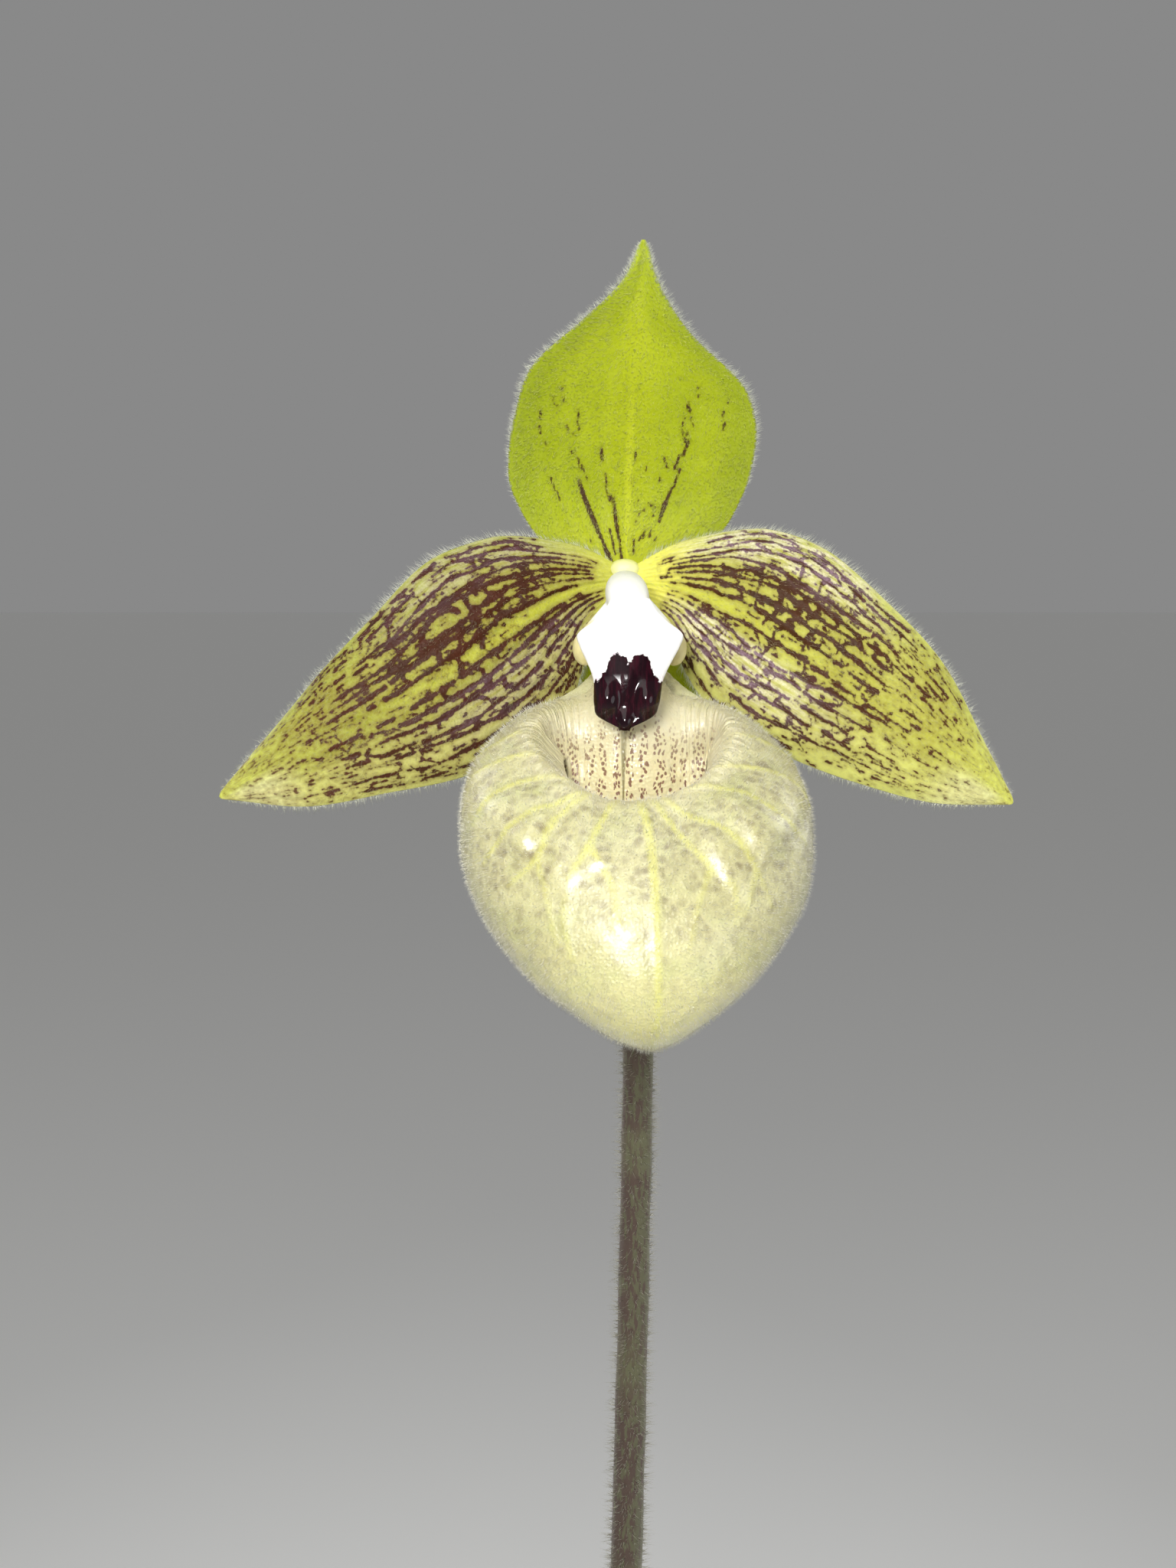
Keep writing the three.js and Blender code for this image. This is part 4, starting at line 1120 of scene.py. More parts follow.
# the crest above the throat is rounded off by drawing each ring towards its neighbours
crease = (0.9 * bell(outerV, throat["crest"], 0.04) * hangs(outerTurn))[1:-1, :, None]
for _ in range(70):
    outer[1:-1] = lerp(outer[1:-1], (outer[:-2] + outer[2:]) / 2, crease)
    outerNormal[1:-1] = lerp(outerNormal[1:-1], (outerNormal[:-2] + outerNormal[2:]) / 2, crease)
outerNormal = unit(outerNormal)
veinGap = markGap(outer.reshape(-1, 3), veinMarks()).reshape(outerV.shape)
fromBack = np.abs(np.abs(outerTurn) - math.pi)
hung = hangs(outerTurn) * smooth(0.87, 0.97, outerV)
# wrinkles run from the shoulders into the mouth; the veins stand proud; the wall is uneven
shoulder = smooth(0.74, 0.88, outerV) * smooth(0.5, 0.9, np.abs(outerTurn)) * smooth(0.35, 0.8, fromBack)
wrinkle = 0.07 * shoulder * np.sin(60 * outerTurn + 5 * outerV + 1.2 * ripple(outer, 6.0, 3))
uneven = 0.05 * ripple(outer, 8.0, 4) + 0.018 * ripple(outer, 2.4, 5) + 0.012 * ripple(outer, 1.3, 6)
raised = lip["veinHeight"] * np.exp(-((np.maximum(veinGap, 0) / 0.36) ** 2)) * smooth(0.96, 0.86, outerV)
# beside the middle the veins lie in shallow folds
degrees = np.abs(np.degrees(outerTurn))
folded = bell(outerV, 0.67, 0.14) * smooth(7, 16, degrees) * smooth(75, 50, degrees)
raised = raised - 0.3 * folded * np.exp(-((np.maximum(veinGap, 0) / 0.95) ** 2))
frontal = smooth(1.5, 1.1, np.abs(outerTurn))
fromFlower = outer - flowerAt
raised = raised + frontal * foldRelief(fromFlower[..., 0], fromFlower[..., 2])
# the seam down the hung wall is a groove
groove = -0.4 * hung * bell(fromFlower[..., 0], throat["seam"], 0.45) * smooth(-25, -18, fromFlower[..., 2])
quiet = smooth(0.0, 0.12, outerV) * smooth(1.0, 0.97, outerV)
outerSkin = outer + outerNormal * ((wrinkle + uneven + raised + groove) * quiet)[..., None]

# the margin rolls over to the inner skin, one wall thickness in
rimTurn = outerTurn[0]
one = 1 + 0 * rimTurn
share = hangs(rimTurn)[:, None]
rimAt = lipPoint(one, rimTurn)
rimInner = rimAt - lip["wall"] * unit(lerp(skinNormal(lipBody, one, rimTurn), np.array([0, -1.0, 0]), share))
rimAlong = unit(rimAt - lipPoint(0.985 * one, rimTurn))
arc = np.linspace(0.12, 0.88, lip["rimRings"])[:, None, None] * math.pi
across = (rimAt - rimInner) / 2 * np.cos(arc) + lip["wall"] / 2 * rimAlong * np.sin(arc)
rimRings = (rimAt + rimInner) / 2 + across
run = np.linspace(0, 1, lip["innerRows"])[:, None]
innerV = lerp(lerp(1.0, 0.55, share[:, 0]), 0.05, run)
innerTurn = np.broadcast_to(rimTurn, innerV.shape)
innerBase = lipBody(innerV, innerTurn) - skinNormal(lipBody, innerV, innerTurn) * lip["wall"]
innerSkin = lerp(rimInner, innerBase, smooth(0, 0.25, run)[..., None])

lipRings = np.concatenate([outerSkin, rimRings, innerSkin])
rimSize = (lip["rimRings"], lip["cols"])
lipV = np.concatenate([outerV, np.ones(rimSize), innerV])
lipU = np.concatenate([np.linspace(-1, 1, lip["cols"] + 1)[None]] * len(lipRings))
rimInside = lerp(hung[-1], 1.0, np.linspace(0, 1, lip["rimRings"])[:, None])
insideValue = np.concatenate([hung, rimInside, 1 + 0 * innerV])
veinValue = np.concatenate([veinGap, np.full(rimSize, farGap), np.full(innerV.shape, farGap)])
points, faces, corners, ends = loft(lipRings, lipU, closeWrap(lipV), {"vein": veinValue, "inside": insideValue})
lipMesh = makeMesh("lip", points, faces, corners, ends)


def lipPaint():
    # Greenish cream with soft grey-purple mottling and thin yellow veins; the throat is paler,
    # with rows of small brown dots, a dark seam and fine wrinkles that lead into it
    paint = Paint("lip")
    u, v = paint.sheet()
    at = paint.place()
    x, _, z = paint.parts(at)
    high = z - flowerAt[2]
    inside = paint.value("inside")
    fromSeam = x - flowerAt[0] - throat["seam"]
    broad = paint.noise(at, 8.0, 2.0)
    warp = paint.noise(at, 0.8, 2.0)
    ground = paint.mix(paint.step(0.3, 0.7, broad), rgb(212, 207, 152), rgb(222, 217, 166))
    # paler and yellower towards the toe, partly the toe's own yellow and partly painted light
    ground = paint.mix(paint.step(0.42, 0.08, v) * 0.85, ground, rgb(252, 245, 164))
    ground = paint.mix(paint.step(0.45, 0.75, paint.noise(at, 3.4, 3.0)) * 0.5, ground, rgb(200, 204, 138))
    # soft spots of two sizes, clouded together in the upper half and sparse at the toe
    patch = paint.step(0.36, 0.62, paint.noise(at, 2.6, 3.0))
    spots = paint.step(0.68, 0.1, paint.cells(at, 1.02, "F1") + (warp - 0.5) * 0.7)
    fine = paint.step(0.44, 0.68, paint.noise(at, 1.1, 3.0, 0.5))
    amount = paint.step(0.12, 0.6, v) * 0.72 + 0.14
    mottle = (spots * (patch * 0.45 + 0.45) + fine * 0.4 + patch * 0.15) * amount
    ground = paint.mix(mottle * 0.8, ground, rgb(150, 138, 102))
    vein = paint.step(0.5, -0.08, paint.value("vein") + (warp - 0.5) * 0.3)
    fading = paint.step(1.2, 3.2, abs(x - flowerAt[0])) * paint.step(0.62, 0.42, v) * 0.6
    skin = paint.mix(vein * (1 - fading) * 0.6, ground, rgb(230, 228, 116))
    # towards the mouth the skin is paler
    crest = paint.step(0.76, 0.9, v)
    crestColour = paint.mix(paint.step(0.0, 6.0, fromSeam), rgb(220, 210, 168), rgb(234, 224, 186))
    skin = paint.mix(crest * 0.75, skin, crestColour)
    cream = paint.mix(paint.noise(at, 2.5, 2.0), rgb(250, 239, 200), rgb(254, 247, 222))
    cream = paint.mix(paint.step(-12.0, -22.0, high) * 0.5, cream, rgb(248, 232, 160))
    # small dots thrown at random and kept where long streams run down to the rim
    low = paint.step(-12.8, -17.6, high)
    sideways = paint.step(2.6, 6.4, abs(fromSeam))
    lean = fromSeam + paint.noise(at, 3.0, 2.0) * 1.6
    dots = paint.cells(paint.vector(lean * 2.9, z * 1.9), 1.0, "F1", 1.0, "2D")
    size = paint.noise(at, 0.6, 1.0) * 0.34 + low * 0.1
    dotMask = paint.step(0.14, -0.04, dots - size - 0.02 + (warp - 0.5) * 0.2)
    stream = paint.noise(paint.vector(lean * 2.3, z * 0.14), 1.0, 1.0)
    rows = paint.maths("COSINE", fromSeam * 4.7 + paint.noise(at, 2.6, 1.0) * 6.0) * 0.17
    keep = paint.step(0.5, 0.6, stream * 0.7 + rows + low * 0.07 + sideways * low * 0.06 + 0.14)
    zone = paint.step(-10.6, -12.6, high) * paint.step(0.3, 0.7, inside)
    dotMask = dotMask * keep * zone
    cream = paint.mix(dotMask * 0.85, cream, paint.mix(low, rgb(160, 104, 78), rgb(122, 58, 50)))
    seamWide = paint.step(-23.0, -13.0, high) * 0.26 + 0.1
    seam = paint.step(1.5, 0.3, abs(fromSeam) / seamWide) * paint.step(0.5, 0.9, inside)
    cream = paint.mix(seam * 0.8, cream, rgb(116, 104, 44))
    deep = paint.step(0.62, 0.5, v) * paint.step(0.9, 1.0, inside)
    cream = paint.mix(deep * 0.5, cream, rgb(206, 190, 112))
    pores = paint.cells(at, 0.34, "F1", 0.8)
    lines = paint.noise(paint.vector(u * 130.0, v * 5.0, z * 0.12), 1.0, 2.0)
    sides = paint.step(0.14, 0.3, 1 - abs(u)) * paint.step(0.14, 0.3, abs(u))
    lines = lines * paint.step(0.78, 0.88, v) * sides
    height = paint.noise(at, 1.1, 3.0, 0.55) * 0.8 + pores * 0.4 + vein * 0.2 + lines * 2.0
    paint.finish({
        "Base Color": paint.mix(inside, skin, cream),
        "Roughness": 0.37 - inside * 0.13 + (paint.noise(at, 1.3, 2.0) - 0.5) * 0.3,
        "Normal": paint.bump(height, 0.17),
        "Coat Weight": 1.0 - inside * 0.6,
        "Coat Roughness": 0.28,
        "Coat IOR": 1.62,
        "Subsurface Weight": 0.15,
        "Subsurface Radius": (0.0016, 0.0014, 0.0008),
        "Subsurface Scale": 1.0,
        "Specular IOR Level": 0.5,
    })
    return paint


place("lip_skin", lipMesh, lipPaint(), "lip", ("lip",))
rng = np.random.default_rng(41)
sparse = 1.0 - 0.97 * smooth(0.84, 0.92, outerV)  # hardly any hairs over the crest and in the throat
at, out, _ = scatterOn(outerSkin, outerNormal, sparse, lip["hairs"], rng)
aims = out + rng.normal(0, 0.16, (lip["hairs"], 3)) + [0.05, 0, -0.12]
fuzz = spikes(at, aims, lip["hairLength"] * rng.uniform(0.6, 1.25, lip["hairs"]), lip["hairRadius"])
place("lip_hairs", makeMesh("lip_hairs", *fuzz), hairPaint("lipHair", rgb(246, 243, 226)), "lip")
print("stage: lip")


# The column and the shield in front of it

column = {
    "y": [1.6, -1.2, -4.4, -7.4, -9.6],
    "z": [-1.7, -1.9, -2.3, -3.0, -4.3],
    "x": [-0.3, -0.3, -0.3, -0.2, 0.0],
    "radius": [1.2, 1.6, 2.0, 2.1, 1.9],
    "voxel": 0.16,
}
shield = {
    "top": (0, -11.2, -3.2),
    "tip": (-0.6, -13.6, -15.3),
    "half": [1.9, 2.5, 3.6, 5.0, 4.75, 4.2, 3.65, 3.25, 3.15, 3.05, 2.6, 0.3],
    "thickness": 1.0,
}


def ball(at, size, tilt=0.0, rows=24, cols=32):
    # An ellipsoid turned about x
    lat = np.linspace(0.02, math.pi - 0.02, rows)[:, None]
    turn = 2 * math.pi * np.arange(cols) / cols
    x, y = size[0] * np.sin(lat) * np.cos(turn), size[1] * np.sin(lat) * np.sin(turn)
    z = size[2] * np.cos(lat) + 0 * turn
    c, s = math.cos(tilt), math.sin(tilt)
    return flowerAt + np.array(at) + vec(x, y * c - z * s, y * s + z * c)


def columnShapes():
    # The column itself, the swelling under the shield, the joint behind and an anther each side
    path = lambda s: flowerAt + vec(*(through(column[k], s) for k in "xyz"))
    radius = lambda s, t: through(column["radius"], s) * (1 + 0.02 * np.cos(3 * t))
    rings = [tubeRings(path, radius, 40, 32)[0]]
    rings.append(ball((0, -8.0, -6.7), (2.4, 1.0, 2.9), -0.35))
    rings.append(ball((-0.3, 1.0, -0.1), (1.6, 0.9, 1.1)))
    for side in (-1, 1):
        arm = lambda s: flowerAt + vec(side * lerp(0.8, 4.1, s), lerp(-6.4, -8.0, s), lerp(-3.2, -7.0, s))
        rings.append(tubeRings(arm, lambda s, t: 1.0 + 0 * s, 12, 16, (0.0, 1.0, 0.0))[0])
        rings.append(ball((side * 4.3, -8.3, -7.9), (1.25, 1.1, 1.7)))
    shapes = []
    for ring in rings:
        points, faces, _, _ = loft(ring)
        shapes.append((points, facingOut(points, faces)))
    return joinShapes(shapes)


def columnPaint():
    # White, yellower at the joint behind, with cream pollen at both sides
    paint = Paint("column")
    at = paint.place()
    x, y, z = paint.parts(at)
    high = z - flowerAt[2]
    joint = paint.step(-1.2, 1.0, y - flowerAt[1])
    colour = paint.mix(joint * 0.8, rgb(252, 251, 244), rgb(230, 230, 96))
    pollen = paint.step(3.1, 3.7, abs(x - flowerAt[0])) * paint.step(-4.5, -5.8, high)
    pollenColour = paint.mix(paint.noise(at, 0.9, 2.0), rgb(222, 208, 140), rgb(238, 228, 176))
    colour = paint.mix(pollen, colour, pollenColour)
    stain = paint.step(0.52, 0.75, paint.noise(at, 1.8, 2.0)) * paint.step(-7.0, -9.0, high)
    colour = paint.mix(stain * 0.3, colour, rgb(170, 150, 110))
    height = paint.noise(at, 0.6, 3.0) + paint.cells(at, 0.28) * 0.4
    paint.finish({
        "Base Color": colour,
        "Roughness": 0.42 + (paint.noise(at, 1.0) - 0.5) * 0.2,
        "Normal": paint.bump(height, 0.05),
        "Subsurface Weight": 0.2,
        "Subsurface Radius": (0.001, 0.001, 0.0008),
        "Subsurface Scale": 1.0,
    })
    return paint


columnPiece = place("column_skin", makeMesh("column", *columnShapes()), columnPaint(), "column", ("column",))
fuse(columnPiece, column["voxel"], 5)


def shieldSheet(s, q):
    # half width across, a straight fall, and a domed face with two lobes and a knob
    half = through(shield["half"], s)
    lobes = 0.85 * np.exp(-((np.abs(q) - 0.6) ** 2) / 0.06) * np.exp(-((s - 0.77) ** 2) / 0.014)
    knob = 0.55 * np.exp(-(q**2) / 0.05) * np.exp(-((s - 0.94) ** 2) / 0.005)
    ridge = 0.1 * np.exp(-(q**2) / 0.03) * smooth(0.5, 0.62, s) * smooth(0.98, 0.86, s)
    dome = 0.9 * (1 - q * q) * np.sin(math.pi * np.minimum(s * 1.1, 1))
    top, tip = shield["top"], shield["tip"]
    x = lerp(top[0], tip[0], s * s) + half * q
    y = lerp(top[1], tip[1], s) - dome - lobes - knob - ridge
    return flowerAt + vec(x, y, lerp(top[2], tip[2], s))


def shieldRelief(s, q, face):
    # A shallow dent high on the middle and soft waves, on the front alone
    dent = -0.2 * np.exp(-(q**2) / 0.02) * bell(s, 0.26, 0.12)
    soft = 0.05 * ripple(vec(4 * q, 12 * s, 0 * s), 2.6, 8)
    return (dent + soft) * (face > 0) * (1 - q**6) * smooth(0, 0.06, s)


def shieldPaint():
    # White above; below a ragged line it is a very dark, glossy maroon
    paint = Paint("shield")
    at = paint.place()
    x, _, z = paint.parts(at)
    high = z - flowerAt[2]
    across = abs(x - flowerAt[0] + 0.2)
    ragged = (paint.noise(at, 0.75, 3.0, 0.7) - 0.5) * 1.9
    peaks = paint.step(1.1, 0.5, abs(across - 1.15)) * 0.7
    line = peaks - paint.step(1.4, 3.2, across) * 1.8 - 9.1
    dark = paint.step(0.08, -0.08, high - line + ragged)
    streak = paint.noise(paint.vector(x * 3.2, z * 0.5), 1.0, 2.0)
    maroon = paint.mix(paint.step(0.4, 0.75, streak), rgb(24, 2, 10), rgb(52, 6, 22))
    white = paint.mix(paint.noise(at, 2.0, 2.0), rgb(250, 248, 246), rgb(255, 253, 252))
    blush = paint.step(1.3, 0.0, high - line) * (1 - dark) * paint.step(0.5, 0.7, paint.noise(at, 0.5, 2.0))
    white = paint.mix(blush * 0.5, white, rgb(214, 150, 190))
    wet = paint.noise(at, 0.7, 2.0)
    gloss = dark * paint.step(-10.1, -11.1, high)
    paint.finish({
        "Base Color": paint.mix(dark, white, maroon),
        "Roughness": 0.45 - gloss * 0.27,
        "Normal": paint.bump(wet + paint.cells(at, 0.35) * 0.3, 0.03),
        "Specular IOR Level": 0.06,
        "Coat Weight": gloss * 0.6,
        "Coat Roughness": 0.05,
        "Subsurface Weight": 0.08,
        "Subsurface Radius": (0.001, 0.001, 0.001),
        "Subsurface Scale": 1.0,
    })
    return paint


shieldThickness = lambda s, q: shield["thickness"] + 0 * s
rings, _, s, q, _ = bladeRings(shieldSheet, shieldThickness, shieldRelief, 110, 96)
points, faces, corners, _ = loft(rings, closeWrap(q), closeWrap(s))
shieldMesh = makeMesh("staminode", points, faces, corners)
place("staminode_skin", shieldMesh, shieldPaint(), "staminode", ("staminode",))
print("stage: column and shield")


# Stalk, ovary and bract

stalk = {
    "x": [0, 1.0, 2.8, 4.6, 5.6],
    "y": [0, 1.6, 3.6, 4.6, 3.5],
    "bottom": 97.3,
    "top": 383.0,
    "radius": (2.2, 1.8),
    "hairs": 15000,
    "hairLength": 1.45,
    "hairRadius": 0.034,
}
ovary = {
    "x": [2.6, 2.3, 1.5, 0.6, 0],
    "y": [27.5, 26.6, 19.6, 11, 3.3],
    "z": [-16.55, -7.6, -0.9, 0.3, -0.7],
    "radius": 2.1,
    "swell": [0.8, 0.95, 1.2, 1.25, 1.05],
    "hairs": 2500,
    "hairLength": 0.8,
}
bract = {
    "long": 19, "half": 7.2, "width": [0.62, 0.95, 1, 0.86, 0.56, 0.03],
    "fold": 3.5, "tipFold": 5.5, "lean": 2.6, "drop": 1.5, "thickness": 0.7, "foot": -17,
    "hairs": 1400, "hairLength": 0.6, "hairRadius": 0.03,
}


def stalkPath(s):
    return vec(through(stalk["x"], s), through(stalk["y"], s), lerp(stalk["bottom"], stalk["top"], s))


def stalkRadius(s, turn):
    # tapers upwards, flares at the very top, with faint ribs and swellings
    plain = lerp(stalk["radius"][0], stalk["radius"][1], s) + 0.5 * smooth(0.97, 1, s)
    swellings = 0.04 * ripple(vec(2 * np.cos(turn), 2 * np.sin(turn), 290 * s), 9.0, 12)
    return plain + 0.03 * np.cos(5 * turn + 9 * s) + swellings


def ovaryPath(s):
    return flowerAt + vec(through(ovary["x"], s), through(ovary["y"], s), through(ovary["z"], s))


def ovaryRadius(s, turn):
    rib = 0.34 * np.cos(6 * turn) * np.sin(math.pi * np.minimum(s + 0.08, 1))
    return through(ovary["swell"], s) * ovary["radius"] + rib


def bractSheet(s, q):
    # a sheath folded round an arc, whose radius opens upwards, behind the ovary's foot
    half = bract["half"] * through(bract["width"], s)
    curve = 1 / lerp(bract["fold"], bract["tipFold"], s)
    bend = curve * half * q
    axis = ovaryPath(0.02 + 0.4 * s)
    away = bract["fold"] + bract["lean"] * s * s
    x = axis[..., 0] + np.sin(bend) / curve
    y = axis[..., 1] + away - (1 - np.cos(bend)) / curve
    return vec(x, y, flowerAt[2] + bract["foot"] - bract["drop"] + bract["long"] * s)


def stalkPaint(name, green, purple, share):
    # Dull green flecked with purple-brown, more so on one side, which is partly painted shade
    paint = Paint(name)
    at = paint.place()
    x, y, z = paint.parts(at)
    flecks = paint.noise(paint.vector(x, y, z * 0.25), 0.55, 3.0, 0.65)
    # more purple-brown towards +x, the side away from the light, partly as painted shade
    sideways = paint.step(-2.5, 3.0, x - 4.0 * paint.step(100.0, 380.0, z) - y * 0.2)
    amount = paint.step(0.62 - share * 0.2, 0.4, flecks - sideways * 0.14)
    colour = paint.mix(amount, purple, green)
    colour = paint.mix(paint.step(0.45, 0.7, paint.noise(at, 6.0)) * 0.4, colour, rgb(114, 114, 82))
    height = paint.noise(paint.vector(x, y, z * 0.3), 0.5, 3.0)
    paint.finish({
        "Base Color": colour,
        "Roughness": 0.6 + (paint.noise(at, 1.2) - 0.5) * 0.2,
        "Normal": paint.bump(height, 0.08),
        "Sheen Weight": 0.25,
    })
    return paint


def tubePiece(name, path, radius, rows, cols, paint, replaces, up=(1.0, 0.0, 0.0)):
    rings = tubeRings(path, radius, rows, cols, up)[0]
    points, faces, _, _ = loft(rings)
    place(name, makeMesh(name, points, faces), paint, "stalk", replaces)
    return rings


def tubeHairs(name, rings, count, length, seed, paint, slot="stalk"):
    rng = np.random.default_rng(seed)
    grid = closeWrap(rings)
    centres = rings.mean(1, keepdims=True)
    at, out, _ = scatterOn(grid, unit(grid - centres), np.ones(grid.shape[:2]), count, rng)
    aims = out + rng.normal(0, 0.25, (count, 3)) + [0, 0, 0.1]
    hairs = spikes(at, aims, length * rng.uniform(0.5, 1.2, count), stalk["hairRadius"])
    place(name, makeMesh(name, *hairs), paint, slot)


stalkColours = stalkPaint("stalk", rgb(100, 98, 72), rgb(88, 70, 60), 1.0)
ovaryColours = stalkPaint("ovary", rgb(140, 148, 84), rgb(100, 70, 58), 0.6)
stalkHairs = hairPaint("stalkHair", rgb(190, 186, 168))
rings = tubePiece("stalk_skin", stalkPath, stalkRadius, 300, 20, stalkColours, ("flower_stalk",))
tubeHairs("stalk_hairs", rings, stalk["hairs"], stalk["hairLength"], 51, stalkHairs)
rings = tubePiece("ovary_skin", ovaryPath, ovaryRadius, 70, 60, ovaryColours, ("ovary",))
tubeHairs("ovary_hairs", rings, ovary["hairs"], ovary["hairLength"], 52, stalkHairs)


def bractPaint():
    # Grey-green with fine lengthwise lines and brown flecks
    paint = Paint("bract")
    q, _ = paint.sheet()
    at = paint.place()
    lines = paint.maths("COSINE", q * 40.0)
    colour = paint.mix(paint.noise(at, 3.0, 2.0), rgb(138, 152, 76), rgb(164, 176, 98))
    spots = paint.step(0.34, 0.2, paint.cells(at, 0.9)) * paint.step(0.4, 0.6, paint.noise(at, 2.6))
    colour = paint.mix(spots * 0.7, colour, rgb(96, 56, 52))
    paint.finish({
        "Base Color": colour,
        "Roughness": 0.55 + lines * 0.03,
        "Normal": paint.bump(lines * 0.5 + paint.noise(at, 0.7, 3.0), 0.08),
        "Sheen Weight": 0.2,
    })
    return paint


rings, _, s, q, _ = bladeRings(
    bractSheet,
    lambda s, q: bract["thickness"] * lerp(1, 0.6, q**4),
    lambda s, q, face: 0.05 * np.cos(26 * q) * (1 - q**6) * smooth(0, 0.1, s) * smooth(1, 0.9, s),
    70,
    70,
)
points, faces, corners, _ = loft(rings, closeWrap(q), closeWrap(s))
place("bract_skin", makeMesh("bract", points, faces, corners), bractPaint(), "bract", ("bract",))
rng = np.random.default_rng(53)
across, along = np.meshgrid(np.linspace(-1, 1, 40), np.linspace(0.03, 0.97, 50))
normal = sheetNormal(bractSheet, along, across)
count = bract["hairs"]
at, out, _ = scatterOn(bractSheet(along, across), normal, np.ones(along.shape), count, rng)
sign = np.where(rng.random(count) < 0.3, 1.0, -1.0)[:, None]
aims = out * sign + rng.normal(0, 0.3, (count, 3))
lengths = bract["hairLength"] * rng.uniform(0.5, 1.2, count)
hairs = spikes(at + out * sign * 0.36, aims, lengths, bract["hairRadius"])
place("bract_hairs", makeMesh("bract_hairs", *hairs), stalkHairs, "bract")
print("stage: stalk, ovary and bract")


# Leaves

leaves = [
    dict(turn=184, long=176, half=18.5, nest=9.4, foot=85, rise=[88, 52, 24, 6, -12, -26]),
    dict(turn=5, long=168, half=18, nest=9.2, foot=85.5, rise=[88, 56, 30, 12, -6, -20]),
    dict(turn=191, long=158, half=18, nest=7.6, foot=87, rise=[88, 70, 48, 28, 10, -4]),
    dict(turn=-4, long=150, half=17.5, nest=7.4, foot=87.5, rise=[88, 73, 54, 36, 18, 6]),
    dict(turn=180, long=118, half=15.5, nest=5.8, foot=89, rise=[89, 82, 70, 56, 44, 36]),
    dict(turn=2, long=92, half=13.5, nest=5.6, foot=90, rise=[89, 84, 76, 66, 56, 50]),
]
leafShape = {
    "wrap": 1.33, "openCurve": 1 / 62, "openAt": 0.42, "widen": (0.05, 0.5), "narrow": 0.62,
    "channel": 0.13, "base": 1.3, "middle": 1.9, "margin": 0.9, "drift": 5,
    "rows": 100, "cols": 44,
}


def leafSheet(leaf, index):
    # A middle line that rises and arches over; across it the blade wraps the crown at the foot
    # and opens into a shallow groove, bent sideways a little along its length
    steps = 60
    angles = np.radians(through(leaf["rise"], (np.arange(steps) + 0.5) / steps))
    step = leaf["long"] / steps
    outs = leaf["nest"] + np.concatenate([[0], np.cumsum(step * np.cos(angles))])
    ups = leaf["foot"] + np.concatenate([[0], np.cumsum(step * np.sin(angles))])
    sway = leafShape["drift"] if index % 2 else -leafShape["drift"]

    def sheet(s, q):
        angle = np.radians(through(leaf["rise"], s))
        turn = np.radians(leaf["turn"] + sway * s * s)
        tip = np.maximum((s - leafShape["narrow"]) / (1 - leafShape["narrow"]), 0)
        taper = np.maximum(1 - tip**2.2, 0.006) ** 0.75
        half = lerp(leafShape["wrap"] * leaf["nest"], leaf["half"], smooth(*leafShape["widen"], s)) * taper
        curve = lerp(1 / leaf["nest"], leafShape["openCurve"], smooth(0, leafShape["openAt"], s))
        bend = curve * half * q
        side = np.sin(bend) / curve
        groove = leafShape["channel"] * smooth(0.1, 0.4, s) * half * (np.hypot(q, 0.15) - 0.15)
        lift = (1 - np.cos(bend)) / curve + groove
        out = through(outs, s) - lift * np.sin(angle)
        up = through(ups, s) + lift * np.cos(angle)
        return vec(out * np.cos(turn) - side * np.sin(turn), out * np.sin(turn) + side * np.cos(turn), up)

    return sheet


def leafPaint():
    # Dark green with a lighter net of small cells above; beneath, dense purple freckles
    paint = Paint("leaf")
    q, s = paint.sheet()
    at = paint.place()
    top = paint.step(0.15, -0.15, paint.value("face"))
    wave = paint.noise(at, 9.0, 2.0)
    spread = paint.vector(q * 7.0 + (wave - 0.5) * 2.2, s * 17.0 + (paint.noise(at, 6.0) - 0.5) * 1.6)
    ridges = paint.cells(spread, 1.0, "DISTANCE_TO_EDGE", 0.9, "2D")
    fine = paint.noise(at, 2.4, 3.0, 0.6)
    dark = paint.step(0.06, 0.3, ridges + (fine - 0.5) * 0.28)
    upper = paint.mix(dark, rgb(112, 142, 84), rgb(34, 66, 36))
    upper = paint.mix(paint.step(0.4, 0.7, fine) * 0.35, upper, rgb(66, 100, 54))
    upper = paint.mix(paint.step(0.05, 0.012, abs(q)) * 0.6, upper, rgb(96, 126, 70))
    upper = paint.mix(paint.step(0.2, 0.0, s) * 0.6, upper, rgb(150, 164, 104))
    crowded = paint.step(0.3, 0.55, paint.noise(at, 5.0, 2.0) + 0.1)
    freckles = paint.step(0.5, 0.25, paint.cells(at, 0.8, "F1")) * crowded
    lower = paint.mix(freckles * 0.9, rgb(112, 132, 82), rgb(74, 30, 56))
    lower = paint.mix(paint.step(0.3, 0.0, s) * 0.5, lower, rgb(96, 44, 66))
    lines = paint.maths("COSINE", q * 60.0)
    grain = paint.cells(at, 0.5, "F1", 0.9)
    height = lines * 0.2 + grain * 0.5 + fine * 0.8
    paint.finish({
        "Base Color": paint.mix(top, lower, upper),
        "Roughness": 0.38 + (fine - 0.5) * 0.25,
        "Normal": paint.bump(height, 0.12),
        "Coat Weight": 0.15,
        "Coat Roughness": 0.3,
        "Subsurface Weight": 0.04,
        "Subsurface Radius": (0.001, 0.002, 0.0005),
        "Subsurface Scale": 1.0,
    })
    return paint


